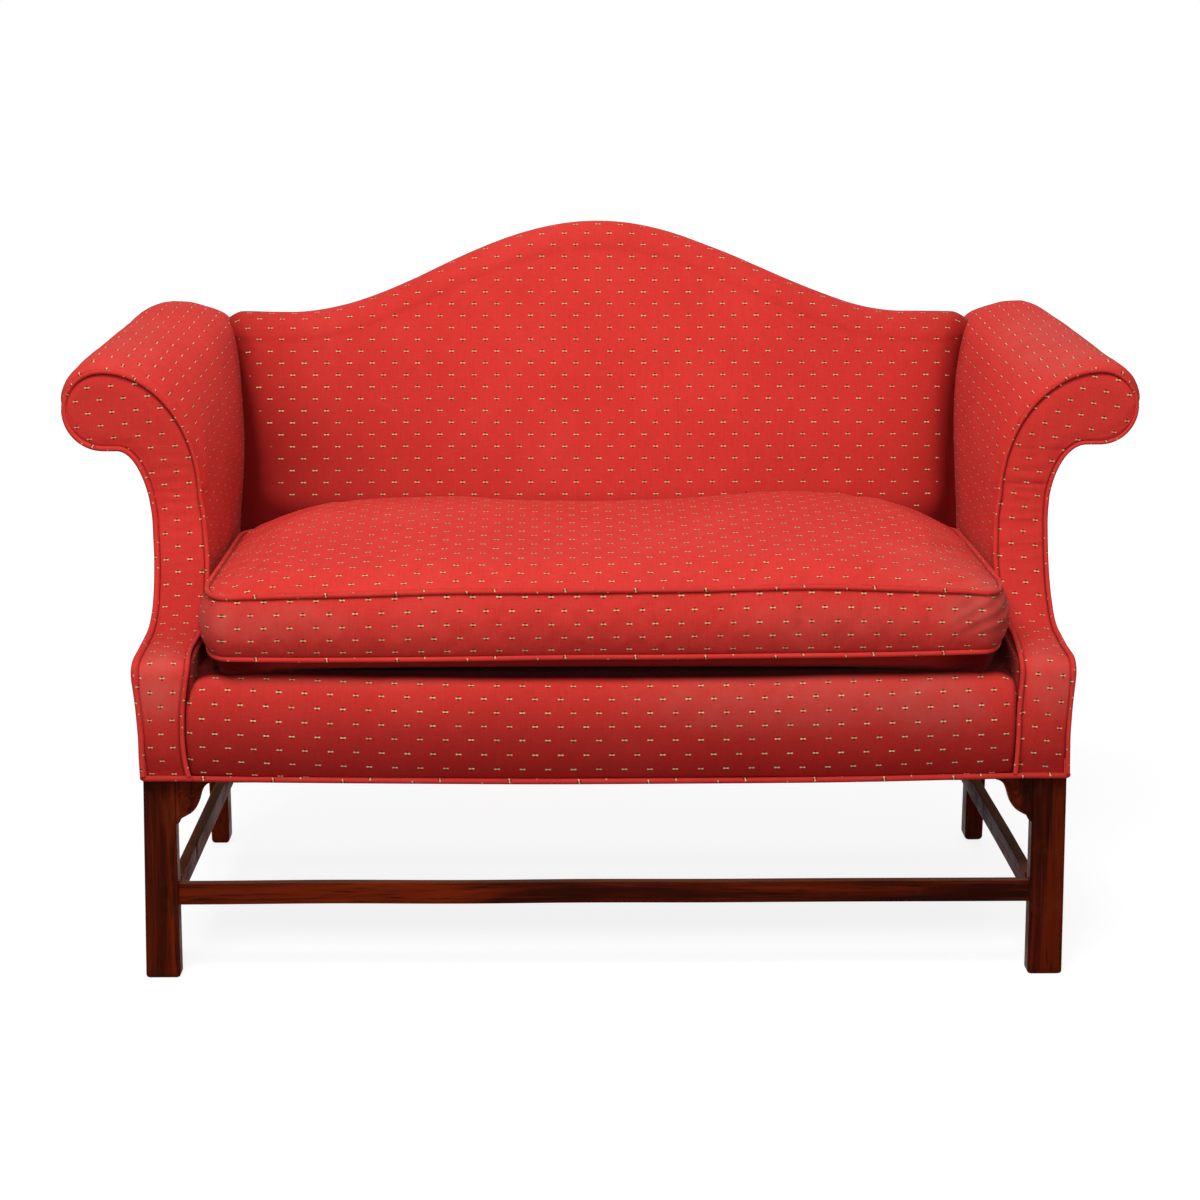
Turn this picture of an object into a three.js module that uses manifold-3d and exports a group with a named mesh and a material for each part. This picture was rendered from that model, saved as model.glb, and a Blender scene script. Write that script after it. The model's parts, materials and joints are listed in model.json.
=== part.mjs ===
// Camelback settee: scroll arms, serpentine back, one loose cushion, square front legs and box stretchers
// Millimetres, +Z up, +X to the right as seen from the front, +Y towards the back
import * as THREE from 'three';
import { mergeVertices } from 'three/addons/utils/BufferGeometryUtils.js';
import Module from 'manifold-3d';

const wasm = await Module();
wasm.setup();

// Gap left between neighbouring pieces, and the reach of helper shapes past the pieces they cut
const clearance = 0.3;
const overrun = 900;

// Legs, posts and stretchers
const frameWidth = 1190;
const legWidth = 41;
const legChamfer = 13;
const legEdge = 3;
const postWidth = 30;
const postDepth = 42;
const postInset = 4;
const footRake = 42;
const stretcherBottom = 98;
const stretcherHeight = 29;
const stretcherThickness = 14;
const stretcherSetback = 6;

// Seat rails, blocks and brace
const railBottom = 274;
const railHeight = 98;
const railThickness = 28;
const sideRailThickness = 32;
const postFront = 598;
const blockReach = 80;
const blockHeight = 70;
const blockDrop = 14;
const braceWidth = 40;
const braceHeight = 50;
const braceDrop = 30;

// Carved bracket under the front rail
const bracketReach = 38;
const bracketDrop = 60;
const bracketThickness = 14;
const bracketSetback = 3;
const bracketToe = 4;
const bracketStepShare = 0.25;
const bracketHollowShare = 0.67;

// Webbing, springs, burlap, deck and dust cover
const webThickness = 2;
const webWidth = 44;
const springRadius = 42;
const springWaist = 30;
const springWire = 3.6;
const springTurns = 5;
const springColumns = 4;
const springRows = 2;
const burlapThickness = 2;
const burlapLap = 2.5;
const deckRise = 52;
const dustThickness = 1.4;
const dustMargin = 18;

// Back frame
const backLean = 0.08;
const crestHeight = 946;
const shoulderHeight = 815;
const crestEndRun = 145;
const crestEndIn = 9;
const crestFullnessShare = 0.93;
const crestPadding = 22;
const crestRailHeight = 75;
const lowerRailRise = 58;
const lowerRailHeight = 60;
const stayWidth = 45;
const stayCentre = 190;

// Covered back
const backPadDepth = 83;
const seatBackKnee = 510;
const backRake = 0.294;
const backRollHeight = 42;
const backTailDrop = 30;
const backPanelThickness = 7;
const backPadBehind = 3;

// Covered arms: places out from or in from the frame's side, up from the shoulder or the rail's top
const coverOut = 5;
const coverLap = 0.5;
const armPad = 24;
const armPanel = 4;
const facingThickness = 12;
const facingSetback = 225;
const facingFootIn = 54;
const knuckleRise = 52;
const knuckleRadius = 20;
const knuckleBulge = 4.5;
const knuckleFall = 44;
const lipRise = 3;
const sweepRun = 105;
const sweepRise = 14;
const sweepHandleShare = 0.62;

// Section of the arm behind the facing, and section at the back
const armFront = {
	apexOut: 73, apexRise: - 46, scroll: 51, wallIn: 54, wallFall: 169, footIn: 62,
	fullness: 2, neckOut: 3, neckRun: 18, neckDrop: 92,
};
const armBack = {
	apexOut: 43, apexRise: 12, scroll: 33, wallIn: 78, wallFall: 177, footIn: 80,
	fullness: 3.6, neckOut: 5, neckRun: 14, neckDrop: 92,
};
const armBow = 6;
const armStations = 4;

// Arm frame
const stumpThickness = 25;
const stumpIn = 28;
const stumpDepth = 60;
const scrollBoard = 28;
const scrollBoardGap = 1.5;
const armRailInner = 86;
const armRailWidth = 30;
const armRailHeight = 25;
const armRailDrop = 75;
const tackRailRise = 53;
const tackRailHeight = 40;

// Front rail cover
const coverEdgeRadius = 24;
const coverTopRun = 45;

// Welts
const weltRadius = 3.2;
const weltInset = 2;
const weltBow = 6;

// Loose seat cushion
const cushionIn = 86;
const cushionFront = -14;
const cushionGap = 11;
const cushionCorner = 34;
const cushionSeamRise = 10;
const cushionBoxing = 78;
const cushionCrown = 44;
const cushionBulge = 7;
const cushionDrawn = 6;
const cushionLift = 0.4;
const crownSquareness = 4;
const crownShares = [ 0.97, 0.9, 0.78, 0.6, 0.36 ];
const boxingShares = [ 0.2, 0.5, 0.8 ];
const seatShares = [ 0.93, 0.5 ];
const seamInsetShare = 1.25;
const seamDropShare = 1.5;
const seamLiftShare = 0.33;

// Numbers of steps along curves and round sections
const crestSteps = 18;
const lineSteps = 7;
const segmentSteps = 6;
const wallSteps = 9;
const scrollSteps = 10;
const neckSteps = 6;
const rollSteps = 5;
const staySteps = 6;
const turnSteps = 8;
const wireSides = 5;
const weltSides = 6;
const weltTurnSteps = 3;
const weltFrontSteps = 6;
const cornerSteps = 4;
const frontSteps = 14;
const sideSteps = 6;
const backWebColumns = 5;
const backWebRows = 3;

// Heights and depths that follow from the sizes above
const railTop = railBottom + railHeight;
const postBack = postFront + postDepth;
const halfFrame = frameWidth / 2;
const legInner = halfFrame - legWidth;
const postOuter = halfFrame - postInset;
const postInner = postOuter - postWidth;
const sideRailInner = halfFrame - sideRailThickness;
const rearRailFront = postBack - railThickness;
const crestReach = halfFrame - crestEndRun;
const seatBackFront = postFront - backPadDepth;
const deckTop = railTop + deckRise;
const lowerRailBottom = railTop + lowerRailRise;
const tackRailBottom = railTop + tackRailRise;
const coverSide = halfFrame + coverOut;
const coverBottom = railBottom - coverLap;
const facingFootInner = halfFrame - facingFootIn;
const knuckleHeight = railTop + knuckleRise;
const sweepTop = shoulderHeight + armFront.apexRise - armFront.wallFall;
const stumpInner = halfFrame - stumpIn;
const cushionHalfWidth = halfFrame - cushionIn;
const cushionBack = seatBackFront - cushionGap;
const cushionSeamLow = deckTop + cushionSeamRise;
const cushionSeamHigh = cushionSeamLow + cushionBoxing;
const padBottom = railTop + clearance + burlapThickness + clearance;
const coverFront = -(facingThickness + clearance);
const webTop = railBottom - clearance;
const postTop = shoulderHeight - crestPadding - crestRailHeight - clearance;
const facingFootHeight = knuckleHeight - knuckleFall;
const facingLipHeight = knuckleHeight + lipRise;

// Finishes
const finishes = {
	crimson_weave: { color: 0xc42a2e, roughness: 0.85, metalness: 0 },
	mahogany: { color: 0x3f1710, roughness: 0.4, metalness: 0 },
	frame_timber: { color: 0xb98f5e, roughness: 0.7, metalness: 0 },
	jute: { color: 0xa98a5a, roughness: 0.9, metalness: 0 },
	spring_steel: { color: 0x8d8f92, roughness: 0.4, metalness: 0.9 },
	cambric: { color: 0x1d1c1d, roughness: 0.9, metalness: 0 },
};

// Keeps only the corners of a geometry and merges those in one place
function merged( geometry ) {

	const plain = new THREE.BufferGeometry();
	plain.setAttribute( 'position', geometry.getAttribute( 'position' ) );
	if ( geometry.index ) plain.setIndex( geometry.index );
	return mergeVertices( plain );

}

// Turns a three.js geometry into a solid that can be cut or joined
function toSolid( geometry ) {

	const welded = merged( geometry );
	return new wasm.Manifold( new wasm.Mesh( {
		numProp: 3,
		vertProperties: new Float32Array( welded.getAttribute( 'position' ).array ),
		triVerts: new Uint32Array( welded.index.array ),
	} ) );

}

// Turns a solid back into a three.js geometry
function toGeometry( solid ) {

	const mesh = solid.getMesh();
	const geometry = new THREE.BufferGeometry();
	geometry.setAttribute( 'position', new THREE.BufferAttribute( mesh.vertProperties, 3 ) );
	geometry.setIndex( new THREE.BufferAttribute( mesh.triVerts, 1 ) );
	return geometry;

}

// Box between two values on each axis
function block( x, y, z ) {

	const geometry = new THREE.BoxGeometry( x[ 1 ] - x[ 0 ], y[ 1 ] - y[ 0 ], z[ 1 ] - z[ 0 ] );
	geometry.translate( ( x[ 0 ] + x[ 1 ] ) / 2, ( y[ 0 ] + y[ 1 ] ) / 2, ( z[ 0 ] + z[ 1 ] ) / 2 );
	return geometry;

}

// Prism of an outline drawn in the plane of two axes, running along the third
const planes = {
	xz: [ new THREE.Vector3( 1, 0, 0 ), new THREE.Vector3( 0, 0, 1 ), new THREE.Vector3( 0, - 1, 0 ) ],
	yz: [ new THREE.Vector3( 0, 1, 0 ), new THREE.Vector3( 0, 0, 1 ), new THREE.Vector3( 1, 0, 0 ) ],
	xy: [ new THREE.Vector3( 1, 0, 0 ), new THREE.Vector3( 0, 1, 0 ), new THREE.Vector3( 0, 0, 1 ) ],
};
function prism( points, plane, from, to ) {

	const shape = points instanceof THREE.Shape
		? points
		: new THREE.Shape( points.map( ( p ) => new THREE.Vector2( p[ 0 ], p[ 1 ] ) ) );
	const options = { depth: to - from, bevelEnabled: false, curveSegments: segmentSteps };
	const geometry = new THREE.ExtrudeGeometry( shape, options );
	const axes = planes[ plane ];
	geometry.applyMatrix4( new THREE.Matrix4().makeBasis( ...axes ) );
	const start = plane === 'xz' ? - to : from;
	geometry.translate( ...axes[ 2 ].clone().multiplyScalar( start ).toArray() );
	return geometry;

}

// Skin over rings that hold the same number of points: round on itself, or closed at both ends
// by flat caps or, when two middle points are given, by fans to them
function loft( rings, closed = false, middles = [] ) {

	const count = rings[ 0 ].length;
	const positions = [ ...rings.flat(), ...middles ].flat();
	const index = [];
	const last = closed ? rings.length : rings.length - 1;
	for ( let i = 0; i < last; i ++ ) {

		const next = ( i + 1 ) % rings.length;
		for ( let j = 0; j < count; j ++ ) {

			const k = ( j + 1 ) % count;
			const a = i * count + j;
			const b = i * count + k;
			const c = next * count + k;
			const d = next * count + j;
			index.push( a, b, c, a, c, d );

		}

	}

	const end = ( rings.length - 1 ) * count;
	if ( middles.length ) {

		for ( let j = 0; j < count; j ++ ) {

			const k = ( j + 1 ) % count;
			index.push( k, j, end + count, end + j, end + k, end + count + 1 );

		}

	} else if ( ! closed ) {

		index.push( ...cap( rings[ 0 ], 0, true ) );
		index.push( ...cap( rings[ rings.length - 1 ], end, false ) );

	}

	const geometry = new THREE.BufferGeometry();
	geometry.setAttribute( 'position', new THREE.Float32BufferAttribute( positions, 3 ) );
	geometry.setIndex( index );
	return outward( geometry );

}

// Triangles that close a flat ring
function cap( ring, offset, reversed ) {

	const origin = new THREE.Vector3( ...ring[ 0 ] );
	const normal = new THREE.Vector3();
	ring.forEach( ( p, i ) => {

		const a = new THREE.Vector3( ...p ).sub( origin );
		const b = new THREE.Vector3( ...ring[ ( i + 1 ) % ring.length ] ).sub( origin );
		normal.add( a.cross( b ) );

	} );
	normal.normalize();
	const side = new THREE.Vector3( 1, 0, 0 );
	if ( Math.abs( normal.x ) > Math.SQRT1_2 ) side.set( 0, 1, 0 );
	const u = side.cross( normal ).normalize();
	const v = normal.clone().cross( u );
	const flat = ring.map( ( p ) => {

		const d = new THREE.Vector3( ...p ).sub( origin );
		return new THREE.Vector2( d.dot( u ), d.dot( v ) );

	} );
	const turn = THREE.ShapeUtils.isClockWise( flat );
	return THREE.ShapeUtils.triangulateShape( flat, [] ).flatMap( ( face ) => {

		const faces = face.map( ( i ) => i + offset );
		return reversed !== turn ? [ faces[ 2 ], faces[ 1 ], faces[ 0 ] ] : faces;

	} );

}

// Turns every triangle round when the closed skin faces inwards
function outward( geometry ) {

	const p = geometry.getAttribute( 'position' );
	const index = Array.from( geometry.index.array );
	const corner = ( i ) => new THREE.Vector3().fromBufferAttribute( p, i );
	let volume = 0;
	for ( let i = 0; i < index.length; i += 3 ) {

		volume += corner( index[ i ] ).dot( corner( index[ i + 1 ] ).cross( corner( index[ i + 2 ] ) ) );

	}

	if ( volume < 0 ) index.reverse();
	geometry.setIndex( index );
	return geometry;

}

// Round tube along points, its section carried without twist
function tube( points, radius, sides, closed = false ) {

	const path = points.map( ( p ) => new THREE.Vector3( ...p ) );
	const count = path.length;
	const tangents = path.map( ( p, i ) => {

		const before = closed ? path[ ( i + count - 1 ) % count ] : path[ Math.max( i - 1, 0 ) ];
		const after = closed ? path[ ( i + 1 ) % count ] : path[ Math.min( i + 1, count - 1 ) ];
		return after.clone().sub( before ).normalize();

	} );
	const steep = Math.abs( tangents[ 0 ].z ) > Math.SQRT1_2;
	let normal = steep ? new THREE.Vector3( 1, 0, 0 ) : new THREE.Vector3( 0, 0, 1 );
	const rings = path.map( ( p, i ) => {

		const t = tangents[ i ];
		normal = normal.clone().sub( t.clone().multiplyScalar( normal.dot( t ) ) ).normalize();
		const binormal = t.clone().cross( normal );
		return Array.from( { length: sides }, ( _, j ) => {

			const angle = j / sides * Math.PI * 2;
			return p.clone()
				.addScaledVector( normal, radius * Math.cos( angle ) )
				.addScaledVector( binormal, radius * Math.sin( angle ) )
				.toArray();

		} );

	} );
	return loft( rings, closed );

}

// Mirror image in the plane x = 0
function mirrored( geometry ) {

	const copy = merged( geometry );
	copy.scale( - 1, 1, 1 );
	return outward( copy );

}

// Cuts one geometry by others, or keeps what two share
function cut( geometry, ...tools ) {

	return toGeometry( tools.reduce( ( solid, tool ) => solid.subtract( toSolid( tool ) ), toSolid( geometry ) ) );

}
function shared( a, b ) {

	return toGeometry( toSolid( a ).intersect( toSolid( b ) ) );

}
function joined( ...parts ) {

	const solids = parts.map( toSolid );
	return toGeometry( solids.reduce( ( sum, solid ) => sum.add( solid ) ) );

}

// Value between two at a share of the way
const mix = ( a, b, t ) => a + ( b - a ) * t;

// Height of the covered back's top edge at a distance from the middle
function camelTop( x ) {

	const along = Math.min( Math.abs( x ) / crestReach, 1 );
	const bell = ( 1 + Math.cos( Math.PI * along ) ) / 2;
	return shoulderHeight + ( crestHeight - shoulderHeight ) * Math.pow( bell, crestFullnessShare );

}

// Places across the back, closer together where the camel curve turns
const crestEnd = halfFrame - crestEndIn;
const crestPlaces = Array.from( { length: crestSteps * 2 + 1 }, ( _, i ) => ( i / crestSteps - 1 ) * crestEnd );

// Depth of the frame's back face at a height: upright at the rail, leaning above it
function backLine( z ) {

	return postBack + Math.max( 0, z - railTop ) * backLean;

}

// Outline in the side view between two depths behind or ahead of the frame's back face
const sky = crestHeight + crestPadding;
function leaningBand( front, back, bottom = coverBottom ) {

	return [
		[ backLine( bottom ) + front, bottom ], [ backLine( bottom ) + back, bottom ],
		[ postBack + back, railTop ], [ backLine( sky ) + back, sky ],
		[ backLine( sky ) + front, sky ], [ postBack + front, railTop ],
	];

}

// Line of the facing's front in the side view: upright, over the knuckle, back along the sweep, upright again
function facingLine() {

	const path = new THREE.Path();
	const slope = sweepRise / sweepRun;
	path.moveTo( coverFront, coverBottom );
	path.lineTo( coverFront, knuckleHeight - knuckleRadius );
	path.quadraticCurveTo(
		coverFront, knuckleHeight,
		coverFront + knuckleRadius, knuckleHeight + knuckleRadius * slope
	);
	path.lineTo( sweepRun, knuckleHeight + sweepRise );
	const handle = ( facingSetback - sweepRun ) * sweepHandleShare;
	path.bezierCurveTo(
		sweepRun + handle, knuckleHeight + sweepRise + handle * slope,
		facingSetback, sweepTop - ( sweepTop - knuckleHeight ) / 2,
		facingSetback, sweepTop
	);
	path.lineTo( facingSetback, sky );
	return path.getPoints( lineSteps ).map( ( p ) => [ p.x, p.y ] );

}

// The same line moved out along its own normals
function offsetLine( points, distance ) {

	return points.map( ( p, i ) => {

		const before = points[ Math.max( i - 1, 0 ) ];
		const after = points[ Math.min( i + 1, points.length - 1 ) ];
		const run = after[ 0 ] - before[ 0 ];
		const rise = after[ 1 ] - before[ 1 ];
		const length = Math.hypot( run, rise );
		const straight = i === 0 || i === points.length - 1;
		return [ p[ 0 ] - rise / length * distance, p[ 1 ] + ( straight ? 0 : run / length * distance ) ];

	} );

}
const frontLine = facingLine();

// Sizes of the arm's section at a depth
function armAt( y ) {

	const length = backLine( shoulderHeight ) - facingSetback;
	const share = THREE.MathUtils.clamp( ( y - facingSetback ) / length, 0, 1 );
	const section = {};
	for ( const key of Object.keys( armFront ) ) section[ key ] = mix( armFront[ key ], armBack[ key ], share );
	section.wallZ = shoulderHeight + section.apexRise - section.wallFall;
	section.apexZ = shoulderHeight + section.apexRise + armBow * 4 * share * ( 1 - share );
	section.apexX = halfFrame + section.apexOut;
	section.wallX = halfFrame - section.wallIn;
	section.footX = halfFrame - section.footIn;
	section.neckX = halfFrame + section.neckOut;
	return section;

}

// Line of the arm's cover from the seat up the inner wall, over the top and round the scroll
function armSkin( section, inset ) {

	const points = [ [ section.footX + inset, padBottom ], [ section.footX + inset, facingLipHeight ] ];
	for ( let i = 0; i <= wallSteps; i ++ ) {

		const angle = i / wallSteps * Math.PI / 2;
		const power = 2 / section.fullness;
		const run = Math.pow( Math.max( 0, Math.cos( angle ) ), power );
		const rise = Math.pow( Math.sin( angle ), power );
		points.push( [
			section.apexX - ( section.apexX - section.wallX - inset ) * run,
			section.wallZ + ( section.apexZ - section.wallZ - inset ) * rise,
		] );

	}

	for ( let i = 1; i <= scrollSteps; i ++ ) {

		const angle = i / scrollSteps * Math.PI;
		points.push( [
			section.apexX + ( section.scroll - inset ) * Math.sin( angle ),
			section.apexZ - section.scroll + ( section.scroll - inset ) * Math.cos( angle ),
		] );

	}

	return points;

}

// Line of the outer side from its foot up the neck to the underside of the scroll
function armNeck( section, inset ) {

	const under = section.apexZ - section.scroll * 2;
	const reach = section.apexX - section.neckRun;
	const neckZ = under - section.neckDrop;
	const points = [ [ coverSide - inset, coverBottom ] ];
	for ( let i = 0; i <= neckSteps; i ++ ) {

		const angle = i / neckSteps * Math.PI / 2;
		points.push( [
			reach - ( reach - section.neckX + inset ) * Math.cos( angle ),
			neckZ + ( section.neckDrop + inset ) * Math.sin( angle ),
		] );

	}

	points.push( [ section.apexX - clearance, under + inset ] );
	return points;

}

// Depths of the arm's stations, from ahead of the knuckle to behind the back
const armDepths = [ coverFront - knuckleRadius ];
for ( let i = 0; i <= armStations; i ++ ) {

	armDepths.push( mix( facingSetback, backLine( shoulderHeight ), i / armStations ) );

}

armDepths.push( backLine( sky ) + knuckleRadius );
function armLoft( ringAt ) {

	return loft( armDepths.map( ( y ) => ringAt( armAt( y ) ).map( ( p ) => [ p[ 0 ], y, p[ 1 ] ] ) ) );

}

// Side view of all that lies behind the facing and ahead of the back panel
function armSide( bottom, rear ) {

	const front = offsetLine( frontLine, - ( facingThickness + clearance ) ).filter( ( p ) => p[ 1 ] > bottom );
	return prism( [
		[ front[ 0 ][ 0 ], bottom ], [ backLine( bottom ) + rear, bottom ],
		...( bottom < railTop ? [ [ postBack + rear, railTop ] ] : [] ),
		[ backLine( sky ) + rear, sky ], ...front.reverse(),
	], 'yz', 0, overrun );

}

// Legs, posts and stretchers
function frontLeg() {

	const outline = new THREE.Shape();
	outline.moveTo( legInner + legEdge, 0 );
	outline.lineTo( halfFrame - legEdge, 0 );
	outline.lineTo( halfFrame, legEdge );
	outline.lineTo( halfFrame, legWidth - legEdge );
	outline.lineTo( halfFrame - legEdge, legWidth );
	outline.lineTo( legInner + legChamfer, legWidth );
	outline.lineTo( legInner, legWidth - legChamfer );
	outline.lineTo( legInner, legEdge );
	return prism( outline, 'xy', 0, railTop );

}

function rearPost() {

	return prism( [
		[ postFront + footRake, 0 ], [ postBack + footRake - legEdge, 0 ], [ postBack, railBottom ],
		[ postBack, railTop ], [ backLine( postTop ), postTop ],
		[ backLine( postTop ) - postDepth, postTop ],
		[ postFront, railTop ], [ postFront, railBottom ],
	], 'yz', postInner, postOuter );

}

// Depth of the rear leg's front face below the rail
function rakedFront( z ) {

	return postFront + footRake * Math.max( 0, 1 - z / railBottom );

}

const stretcherTop = stretcherBottom + stretcherHeight;

function frontStretcher() {

	return block(
		[ - legInner + clearance, legInner - clearance ],
		[ stretcherSetback, stretcherSetback + stretcherThickness ],
		[ stretcherBottom, stretcherTop ]
	);

}

function rearStretcher() {

	const from = rakedFront( stretcherBottom ) + stretcherSetback;
	return block(
		[ - postInner + clearance, postInner - clearance ],
		[ from, from + stretcherThickness ],
		[ stretcherBottom, stretcherTop ]
	);

}

function sideStretcher() {

	return prism( [
		[ legWidth + clearance, stretcherBottom ],
		[ rakedFront( stretcherBottom ) - clearance, stretcherBottom ],
		[ rakedFront( stretcherTop ) - clearance, stretcherTop ],
		[ legWidth + clearance, stretcherTop ],
	], 'yz', legInner, legInner + stretcherThickness );

}

// Bracket with a stepped, hollowed lower edge
function bracket() {

	const top = railBottom - clearance;
	const root = legInner - clearance;
	const outline = new THREE.Shape();
	outline.moveTo( root, top );
	outline.lineTo( root - bracketReach, top );
	outline.lineTo( root - bracketReach, top - bracketToe );
	outline.quadraticCurveTo(
		root - bracketReach / 2, top - bracketDrop * bracketStepShare,
		root - bracketReach / 2, top - bracketDrop / 2
	);
	outline.quadraticCurveTo(
		root - bracketToe * 2, top - bracketDrop * bracketHollowShare,
		root - bracketToe, top - bracketDrop
	);
	outline.lineTo( root, top - bracketDrop );
	return prism( outline, 'xz', bracketSetback, bracketSetback + bracketThickness );

}

// Seat rails
function frontRail() {

	const half = legInner - clearance;
	return block( [ - half, half ], [ 0, railThickness ], [ railBottom, railTop ] );

}

function rearRail() {

	const half = postInner - clearance;
	return block( [ - half, half ], [ rearRailFront, postBack ], [ railBottom, railTop ] );

}

function sideRail() {

	return block(
		[ sideRailInner, halfFrame ], [ legWidth + clearance, postFront - clearance ], [ railBottom, railTop ]
	);

}

// Glue blocks in the four corners, notched round the leg or the post
function frontBlock() {

	const x = sideRailInner - clearance;
	const y = railThickness + clearance;
	const notchX = legInner - clearance;
	const notchY = legWidth + clearance;
	return prism( [
		[ x - blockReach, y ], [ notchX, y ], [ notchX, notchY ], [ x, notchY ], [ x, y + blockReach ],
	], 'xy', railTop - blockDrop - blockHeight, railTop - blockDrop );

}

function rearBlock() {

	const x = sideRailInner - clearance;
	const y = rearRailFront - clearance;
	const notchX = postInner - clearance;
	const notchY = postFront - clearance;
	return prism( [
		[ x - blockReach, y ], [ notchX, y ], [ notchX, notchY ], [ x, notchY ], [ x, y - blockReach ],
	], 'xy', railTop - blockDrop - blockHeight, railTop - blockDrop );

}

function seatBrace() {

	return block(
		[ - braceWidth / 2, braceWidth / 2 ],
		[ railThickness + clearance, rearRailFront - clearance ],
		[ railTop - braceDrop - braceHeight, railTop - braceDrop ]
	);

}

// Even places between two ends, half a step in from each
function places( count, from, to ) {

	return Array.from( { length: count }, ( _, i ) => mix( from, to, ( i + 1 / 2 ) / count ) );

}
const springX = places( springColumns, - sideRailInner, sideRailInner );
const springY = places( springRows, railThickness, rearRailFront );

// Webbing under the seat: straps both ways, one under each row and column and one between
function seatWebbing() {

	const lap = railThickness / 2;
	const z = [ webTop - webThickness, webTop ];
	const along = places( springColumns * 2, - sideRailInner, sideRailInner );
	const across = places( springRows * 2, railThickness, rearRailFront );
	const half = webWidth / 2;
	const straps = [
		...along.map( ( x ) => block(
			[ x - half, x + half ], [ railThickness - lap, rearRailFront + lap ], z
		) ),
		...across.map( ( y ) => block(
			[ - sideRailInner - lap, sideRailInner + lap ], [ y - half, y + half ], z
		) ),
	];
	return joined( ...straps );

}

// Coil spring, wide at its ends and narrow at its waist
function coilSpring( x, y ) {

	const steps = springTurns * turnSteps;
	const low = railBottom + clearance + springWire / 2;
	const high = railTop - springWire / 2;
	const points = Array.from( { length: steps + 1 }, ( _, i ) => {

		const share = i / steps;
		const waist = ( springRadius - springWaist ) * Math.sin( Math.PI * share );
		const radius = springRadius - springWire - waist;
		const angle = share * springTurns * Math.PI * 2;
		return [ x + radius * Math.cos( angle ), y + radius * Math.sin( angle ), mix( low, high, share ) ];

	} );
	return tube( points, springWire / 2, wireSides );

}

// Burlap over the springs, lapped on the rails
function springBurlap() {

	const half = sideRailInner + burlapLap;
	const front = railThickness / 2 + clearance;
	const corner = legWidth + clearance;
	const z = railTop + clearance;
	return prism( [
		[ - half, corner ], [ - legInner + clearance, corner ], [ - legInner + clearance, front ],
		[ legInner - clearance, front ], [ legInner - clearance, corner ], [ half, corner ],
		[ half, postFront - clearance ], [ postInner - clearance, postFront - clearance ],
		[ postInner - clearance, postBack - railThickness / 2 ],
		[ - postInner + clearance, postBack - railThickness / 2 ],
		[ - postInner + clearance, postFront - clearance ], [ - half, postFront - clearance ],
	], 'xy', z, z + burlapThickness );

}

// Space that the two arms fill, used to trim what lies between them
function armSpace() {

	return armLoft( ( section ) => [
		...armSkin( section, - clearance ).slice( 1, wallSteps + 3 ),
		[ overrun, section.apexZ + clearance ], [ overrun, 0 ], [ section.footX - clearance, 0 ],
	] );

}
const rightArmSpace = armSpace();
const leftArmSpace = mirrored( rightArmSpace );

// Stuffed deck under the cushion
function seatDeck() {

	const plate = block(
		[ - coverSide, coverSide ],
		[ coverTopRun + clearance, seatBackFront - clearance ],
		[ padBottom, deckTop ]
	);
	return cut( plate, rightArmSpace, leftArmSpace );

}

// Dark cloth tacked under the seat, notched round the front legs
function dustCover() {

	const z = webTop - webThickness - clearance;
	const half = sideRailInner;
	const rear = postFront - clearance;
	const notchX = legInner - clearance;
	const notchY = legWidth + clearance;
	return prism( [
		[ - half, notchY ], [ - notchX, notchY ], [ - notchX, dustMargin ], [ notchX, dustMargin ],
		[ notchX, notchY ], [ half, notchY ], [ half, rear ], [ - half, rear ],
	], 'xy', z - dustThickness, z );

}

// Camel-shaped top rail
function crestRail() {

	const top = crestPlaces.map( ( x ) => [ x, camelTop( x ) - crestPadding ] );
	const low = top.map( ( p ) => [ p[ 0 ], p[ 1 ] - crestRailHeight ] ).reverse();
	return shared(
		prism( [ ...top, ...low ], 'xz', postFront, backLine( sky ) + knuckleRadius ),
		prism( leaningBand( - railThickness, 0 ), 'yz', - coverSide, coverSide )
	);

}

function lowerBackRail() {

	const z = [ lowerRailBottom, lowerRailBottom + lowerRailHeight ];
	return prism( [
		[ backLine( z[ 0 ] ) - railThickness, z[ 0 ] ], [ backLine( z[ 0 ] ), z[ 0 ] ],
		[ backLine( z[ 1 ] ), z[ 1 ] ], [ backLine( z[ 1 ] ) - railThickness, z[ 1 ] ],
	], 'yz', - postInner + clearance, postInner - clearance );

}

function backStay() {

	const bottom = lowerRailBottom + lowerRailHeight + clearance;
	const drop = crestPadding + crestRailHeight + clearance * 2;
	const sides = [ stayCentre - stayWidth / 2, stayCentre + stayWidth / 2 ];
	const top = Array.from( { length: staySteps + 1 }, ( _, i ) => mix( sides[ 1 ], sides[ 0 ], i / staySteps ) )
		.map( ( x ) => [ x, camelTop( x ) - drop ] );
	return shared(
		prism( [ [ sides[ 0 ], bottom ], [ sides[ 1 ], bottom ], ...top ], 'xz', postFront, backLine( sky ) ),
		prism( leaningBand( - railThickness, 0 ), 'yz', - coverSide, coverSide )
	);

}

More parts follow.
